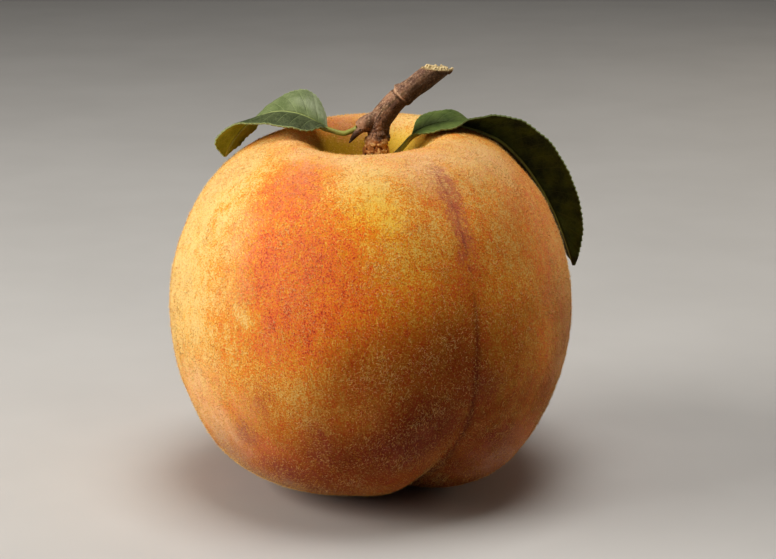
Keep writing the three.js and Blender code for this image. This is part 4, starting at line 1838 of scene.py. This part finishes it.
    def build(self, finish: Finish) -> Piece:
        """Shapes the twig.

        Args:
            finish: The bark's material.

        Returns:
            The twig.
        """
        stem = self.stick("peach_twig", [*self.route, self.beyond_break], 40, 120)
        normal = Vector(self.break_normal).normalized()
        Bench.edit(
            stem,
            lambda: bpy.ops.mesh.bisect(
                plane_co=Vector(self.break_at) * MM, plane_no=normal, use_fill=True, clear_outer=True
            ),
        )
        spur = self.stick("spur", self.spur, 24, 40)
        bud = self.stick("bud", self.bud, 16, 30)
        piece = Bench.join([stem, spur, bud, self.cork(), self.fibres(np.array(normal))])
        Bench.modify(piece, "REMESH", mode="VOXEL", voxel_size=self.voxel * MM)
        Bench.modify(piece, "SMOOTH", factor=0.5, iterations=2)
        points, normals = Bench.points(piece) / MM, Bench.normals(piece)
        above = (points - np.array(self.break_at)) @ np.array(normal)
        torn = smooth(above, *self.torn_edge)
        grain = self.grain(points)
        points += normals * self.relief(points, grain, torn)[:, None]
        Bench.place(piece, points * MM)
        axis = Route(self.route).at(grain[:, 2])
        stand = np.linalg.norm(points - axis[:, :3], axis=1) - axis[:, 3]
        Bench.mark(piece, "stand", np.column_stack([stand, above, np.zeros(len(above))]))
        grain[:, 2] = torn
        Bench.mark(piece, "grain", grain)
        Bench.outward(piece)
        Bench.soften(piece, 50)
        Bench.dress(piece, finish)
        hand_over(piece, "bark", "twig")
        return piece


# -------- leaves


@dataclass
class Leaf:
    """A leaf: a toothed blade on its stalk, with a midrib under it and veins pressed into it.

    Each rib is a place on the midrib, then the way from there to the near and to the far edge.
    """

    name: str
    slot: str
    node: str
    ribs: tuple[tuple[Row, Row, Row], ...]
    upper: LeafFace
    under: LeafFace
    rows: int
    face_up: int  # 1 where the way from the near to the far edge runs left of the heading, else -1
    stalk_ribs: int = 3
    columns: int = 34
    thickness: float = 0.28
    arch: float = 0.05
    tooth: float = 0.30
    tooth_pitch: float = 1.15
    tooth_bend: float = 0.8
    tooth_from: float = 0.86  # of the way to the edge
    # Over these shares of the way the blade takes its form, gets its teeth, and loses them.
    widening: float = 0.05
    forming: float = 0.08
    narrowing: Pair = (1.0, 0.97)
    quilt: float = 0.07
    quilt_level: float = 0.6
    quilt_from: Pair = (0.03, 0.2)  # of the way to the edge
    wave: float = 0.14
    wave_pitch: float = 5.3
    groove_depth: float = 0.16
    groove_half: float = 0.45
    stalk_radius: float = 0.52
    stalk_end: float = 0.4784
    stalk_swell: float = 0.35
    tip_radius: float = 0.10
    rib_end: float = 0.985  # of the way to the tip
    rib_sunk: float = 0.85  # of its own radius, under the blade

    def curves(self) -> tuple[Route, Route, Route]:
        """The midrib, and the ways from it to the near and to the far edge."""
        return tuple(Route([rib[i] for rib in self.ribs]) for i in range(3))

    def start(self) -> float:
        """The share of the way along where the blade starts."""
        return self.stalk_ribs / (len(self.ribs) - 1)

    def surface(self, along: np.ndarray, across: np.ndarray) -> tuple[np.ndarray, ...]:
        """The middle of the blade.

        Args:
            along: Shares of the way from the stalk's foot to the tip.
            across: -1 on the near edge, 0 on the midrib, 1 on the far edge.

        Returns:
            The places, the directions out of the upper face, millimetres along the midrib, and
            millimetres from it.
        """
        midrib, near, far = self.curves()
        middle, heading = midrib.at(along), midrib.heading(along)
        is_near = across < 0
        edge = np.where(is_near[:, None], near.at(along), far.at(along))
        width = np.linalg.norm(edge, axis=1)
        up = unit(np.cross(heading, edge))
        up = self.face_up * np.where(is_near[:, None], up, -up)
        reach = np.abs(across)
        length = midrib.length_to(along)
        start = self.start()
        room = smooth(along, start, start + self.forming) * smooth(along, *self.narrowing)
        teeth = self.teeth(along, is_near) * np.minimum(self.tooth, width / 5)
        teeth = teeth * smooth(reach, self.tooth_from, 1.0) * room

        # The blade is quilted between the side veins, waves at its edge and dips at the midrib.
        slant = reach**self.upper.slant_bend * self.upper.slant
        phase = (length - slant) / self.upper.pitch + self.upper.stagger * (across > 0)
        between = np.abs(phase % 1 - 0.5) * 2
        quilt = self.quilt * (smooth(between, 0.0, 0.5) - self.quilt_level)
        quilt = quilt * smooth(reach, *self.quilt_from) * room
        wave = self.wave * reach**3 * np.sin(2 * math.pi * length / self.wave_pitch + 2 * across) * room
        arch = self.arch * width * 4 * reach * (1 - reach) * smooth(along, start, start + self.widening)
        groove = -self.groove_depth * bump(reach * width, self.groove_half)
        places = middle + unit(edge) * (reach * width - teeth)[:, None]
        places += up * (arch + quilt + wave + groove)[:, None]
        return places, up, length, across * width

    def teeth(self, along: np.ndarray, is_near: np.ndarray) -> np.ndarray:
        """How deep the edge is cut, from 0 at a tooth's point to 1 behind it.

        Args:
            along: Shares of the way from the stalk's foot to the tip.
            is_near: Whether each place is on the near half.

        Returns:
            One number for each place.
        """
        midrib, near, far = self.curves()
        steps = np.linspace(0, 1, Route.SAMPLES)
        teeth = np.zeros(len(along))
        for side, curve in ((is_near, near), (~is_near, far)):
            gone = distances(midrib.at(steps) + curve.at(steps))
            phase = (np.interp(along, steps, gone) / self.tooth_pitch) % 1
            teeth = np.where(side, (1 - phase) ** self.tooth_bend, teeth)
        return teeth

    def build(self, stalk: Finish, effects: Effects) -> Piece:
        """Shapes the leaf.

        Args:
            stalk: The material of the stalk and the midrib.
            effects: The shared effects.

        Returns:
            The leaf.
        """
        piece = Bench.sheet(self.name, self.rows, self.columns)
        flat = Bench.points(piece)
        along = self.start() + (1 - self.start()) * (flat[:, 0] + 1) / 2
        across = flat[:, 1]
        places, up, length, reach = self.surface(along, across)
        Bench.place(piece, places * MM)
        Bench.mark(piece, "blade", np.column_stack([length, across, reach]))
        if (Bench.normals(piece) * up).sum() < 0:
            Bench.edit(piece, lambda: bpy.ops.mesh.flip_normals())
        finishes = (self.upper.material(effects), self.under.material(effects), stalk)
        Bench.dress(piece, *finishes)
        Bench.modify(
            piece,
            "SOLIDIFY",
            thickness=self.thickness * MM,
            offset=0,
            use_even_offset=False,
            material_offset=1,
            material_offset_rim=0,
        )
        rib = self.midrib()
        Bench.dress(rib, *finishes)
        for face in rib.data.polygons:
            face.material_index = finishes.index(stalk)
        piece = Bench.join([piece, rib])
        Bench.soften(piece, 40)
        hand_over(piece, self.slot, self.node)
        return piece

    def midrib(self) -> Piece:
        """The stalk, which runs on as the midrib under the blade and thins towards the tip.

        Returns:
            The stalk and midrib.
        """
        piece = Bench.ball("rib", 14, 120)
        along, turn, out = as_stick(Bench.points(piece), cap=0.03)
        along = along * self.rib_end
        start = self.start()
        middle, up, _, _ = self.surface(along, np.zeros(len(along)))
        on_blade = smooth(along, start - 0.02, start + self.widening)
        swell = 1 + self.stalk_swell * smooth(along, 0.04, 0.0)
        radii = (self.stalk_radius, self.stalk_end, self.tip_radius)
        radius = np.interp(along, (0, start, 1), radii) * swell * out
        heading = self.curves()[0].heading(along)
        side = unit(np.cross(up, heading))
        middle = middle - up * (radius * self.rib_sunk * on_blade)[:, None]
        points = middle + side * (radius * np.cos(turn))[:, None]
        points += np.cross(heading, side) * (radius * np.sin(turn))[:, None]
        Bench.place(piece, points * MM)
        Bench.outward(piece)
        return piece


def left_leaf() -> Leaf:
    """The left leaf, which lies over the shoulder with its tip turned down."""
    return Leaf(
        name="peach_leaf_left",
        slot="leaf_light",
        node="leaf_left",
        ribs=(
            stalk_rib(-2.9, 0.1, 69.3),
            stalk_rib(-4.3, 0.2, 68.7),
            stalk_rib(-5.7, 0.6, 68.3),
            stalk_rib(-8.4, 1.6, 68.9),
            ((-10.3, 2.3, 69.9), (0.6, -2.8, -0.7), (1.4, 2.7, 1.4)),
            ((-12.3, 3.0, 70.8), (0.3, -5.0, -1.7), (1.3, 5.5, 3.2)),
            ((-14.5, 3.8, 71.4), (0.2, -6.6, -1.9), (0.8, 6.0, 3.6)),
            ((-17.6, 4.7, 71.6), (0.4, -6.9, -1.6), (0.0, 6.3, 1.6)),
            ((-20.7, 5.6, 70.8), (-0.1, -6.4, -0.7), (0.3, 5.9, 0.5)),
            ((-23.9, 6.2, 69.1), (-1.3, -4.7, 0.7), (1.4, 4.8, -1.8)),
            ((-26.3, 6.5, 66.4), (-2.7, -3.2, 1.3), (1.8, 3.5, -1.2)),
            ((-27.6, 6.6, 64.2), (-2.5, -2.1, 0.9), (1.3, 2.3, -0.5)),
            ((-28.4, 6.5, 62.5), (-0.2, -0.3, 0.0), (0.2, 0.3, 0.0)),
        ),
        upper=LeafFace(
            name="leaf_left_upper",
            green=(0.205, 0.25, 0.105),
            deep=(0.125, 0.165, 0.058),
            vein=(0.37, 0.44, 0.2),
            rib=(0.46, 0.52, 0.21),
            tip=(0.3, 0.26, 0.05),
            yellowing=Fade(31, 36),
            gloss=0.55,
            net=0.18,
            vein_share=0.5,
            near_half_shade=0.42,
            painted_sheen=0.55,
        ),
        # The under face is a pale yellow-green, brighter still as painted light shining through the leaf.
        under=LeafFace(
            name="leaf_left_under",
            green=(0.46, 0.5, 0.045),
            deep=(0.32, 0.37, 0.032),
            vein=(0.48, 0.46, 0.13),
            tip=(0.34, 0.15, 0.06),
            yellowing=Fade(31, 34),
            gloss=0.58,
            net=0.22,
            near_half_shade=0.72,
        ),
        rows=170,
        face_up=1,
    )


def right_leaf() -> Leaf:
    """The right leaf, which turns over and hangs behind the right shoulder."""
    return Leaf(
        name="peach_leaf_right",
        slot="leaf_dark",
        node="leaf_right",
        ribs=(
            stalk_rib(2.0, 0.9, 62.3),
            stalk_rib(3.4, 1.2, 63.4),
            stalk_rib(5.3, 2.0, 65.0),
            stalk_rib(7.4, 2.5, 67.3),
            ((9.1, 3.0, 68.5), (-0.2, -2.8, -0.4), (-0.5, 4.0, 1.0)),
            ((11.6, 3.6, 69.3), (0.2, -5.6, -0.4), (0.0, 6.0, 1.4)),
            ((14.9, 4.6, 69.6), (0.5, -6.2, 0.0), (1.0, 6.4, 0.8)),
            ((18.2, 6.2, 68.5), (0.5, -5.6, 2.4), (0.9, 6.0, -0.4)),
            ((21.6, 8.0, 67.0), (1.4, -4.8, 4.1), (0.2, 5.0, -1.9)),
            ((25.3, 9.4, 64.8), (3.0, -3.6, 5.0), (-0.3, 5.2, -3.1)),
            ((29.5, 10.6, 60.4), (4.6, -3.0, 4.8), (-0.9, 5.6, -3.2)),
            ((32.8, 11.4, 55.6), (5.2, -2.6, 3.4), (-1.2, 6.4, -2.6)),
            ((35.5, 11.9, 50.6), (5.0, -2.0, 1.5), (-1.0, 6.8, -1.9)),
            ((37.4, 12.2, 46.0), (3.8, -1.5, 0.3), (-0.7, 6.0, -1.5)),
            ((38.8, 12.4, 42.0), (1.7, -0.9, -0.3), (-0.4, 3.8, -1.0)),
            ((39.6, 12.5, 39.4), (0.2, -0.3, 0.0), (-0.2, 0.3, 0.0)),
        ),
        upper=LeafFace(
            name="leaf_right_upper",
            green=(0.152, 0.205, 0.052),
            deep=(0.076, 0.116, 0.026),
            vein=(0.24, 0.3, 0.12),
            # The midrib is painted dark, as painted shade in the groove along it.
            rib=(0.045, 0.065, 0.018),
            tip=(0.12, 0.11, 0.03),
            yellowing=Fade(52, 60),
            gloss=0.55,
            net=0.16,
            vein_share=0.62,
        ),
        # The under face is painted a far darker green than the left leaf's, as painted shade: it hangs
        # turned from the light behind the shoulder.
        under=LeafFace(
            name="leaf_right_under_shaded",
            green=(0.076, 0.104, 0.006),
            deep=(0.014, 0.024, 0.003),
            vein=(0.14, 0.16, 0.045),
            rib=(0.075, 0.085, 0.02),
            tip=(0.045, 0.038, 0.008),
            yellowing=Fade(52, 60),
            gloss=0.6,
            net=0.2,
        ),
        rows=320,
        face_up=-1,
    )


def stalk_rib(x: float, y: float, z: float, half: float = 0.45) -> tuple[Row, Row, Row]:
    """A narrow rib where the leaf is still its stalk."""
    return ((x, y, z), (0.0, -half, 0.0), (0.0, half, 0.0))


# -------- studio


@dataclass
class Studio:
    """A pale floor, soft lights on the left, overhead and behind on the right, and the camera."""

    elevation: float = 15.0
    distance: float = 420.0
    aim_height: float = 36.0
    aside: float = 2.94
    upward: float = 3.63
    lens: float = 101.4
    sensor: float = 36.0
    nearest: float = 0.01  # metres in front of the camera
    floor_size: float = 6.0  # metres
    # Each light by its name, its place, its size in metres, its power in watts and its tint.
    lights: tuple[tuple[str, Row, float, float, Colour], ...] = (
        ("left", (-570.0, -150.0, 290.0), 0.4, 3.35, (1.0, 0.96, 0.9)),
        ("overhead", (40.0, -50.0, 680.0), 0.36, 2.5, (1.0, 0.98, 0.95)),
        ("behind", (520.0, 360.0, 120.0), 0.3, 0.85, (1.0, 0.86, 0.68)),
    )
    sky: Colour = (1.0, 0.98, 0.95)
    sky_strength: float = 0.05

    def build(self, effects: Effects) -> None:
        """Sets up the floor, the lights and the camera.

        Args:
            effects: The shared effects.
        """
        Bench.clear()
        bpy.ops.mesh.primitive_plane_add(size=self.floor_size)
        floor = Bench.named("studio_floor")
        Bench.dress(floor, StudioFloor().material(effects))
        for light in self.lights:
            self.softbox(*light)
        world = bpy.data.worlds.new("studio")
        world.use_nodes = True
        background = world.node_tree.nodes["Background"]
        background.inputs["Color"].default_value = (*self.sky, 1.0)
        background.inputs["Strength"].default_value = self.sky_strength
        bpy.context.scene.world = world
        bpy.context.scene.view_settings.view_transform = "Standard"
        bpy.context.scene.view_settings.look = "Medium High Contrast"
        self.camera()

    def softbox(self, name: str, at: Row, size: float, power: float, tint: Colour) -> None:
        """A square soft light that faces the fruit.

        Args:
            name: Name of the light.
            at: Its place in millimetres.
            size: Its side in metres.
            power: Its power in watts.
            tint: Its colour.
        """
        lamp = bpy.data.lights.new(name, "AREA")
        lamp.size = size
        lamp.energy = power
        lamp.color = tint
        holder = bpy.data.objects.new(name, lamp)
        holder.location = Vector(at) * MM
        towards = Vector((0, 0, self.aim_height)) - Vector(at)
        holder.rotation_mode = "QUATERNION"
        holder.rotation_quaternion = towards.to_track_quat("-Z", "Y")
        bpy.context.scene.collection.objects.link(holder)

    def camera(self) -> None:
        """The camera in front of the fruit, looking a little down on it."""
        tilt = math.radians(self.elevation)
        back = Vector((0, -math.cos(tilt), math.sin(tilt)))
        above = Vector((0, math.sin(tilt), math.cos(tilt)))
        lens = bpy.data.cameras.new("camera")
        lens.lens = self.lens
        lens.sensor_width = self.sensor
        lens.clip_start = self.nearest
        holder = bpy.data.objects.new("camera", lens)
        aim = Vector((self.aside, 0, self.aim_height)) + above * self.upward
        holder.location = (aim + back * self.distance) * MM
        holder.rotation_mode = "QUATERNION"
        holder.rotation_quaternion = (-back).to_track_quat("-Z", "Y")
        bpy.context.scene.collection.objects.link(holder)
        bpy.context.scene.camera = holder


def main() -> None:
    """Builds every piece in order."""
    logging.basicConfig(level=logging.INFO, format="%(name)s: %(message)s")
    effects = Effects()
    Studio().build(effects)
    fruit = Fruit().build(DownySkin().material(effects))
    Down().build(fruit)
    Twig().build(Bark().material(effects))
    stalk = Stalk().material(effects)
    left_leaf().build(stalk, effects)
    right_leaf().build(stalk, effects)
    Bench.clear()


if __name__ == "__main__":
    main()
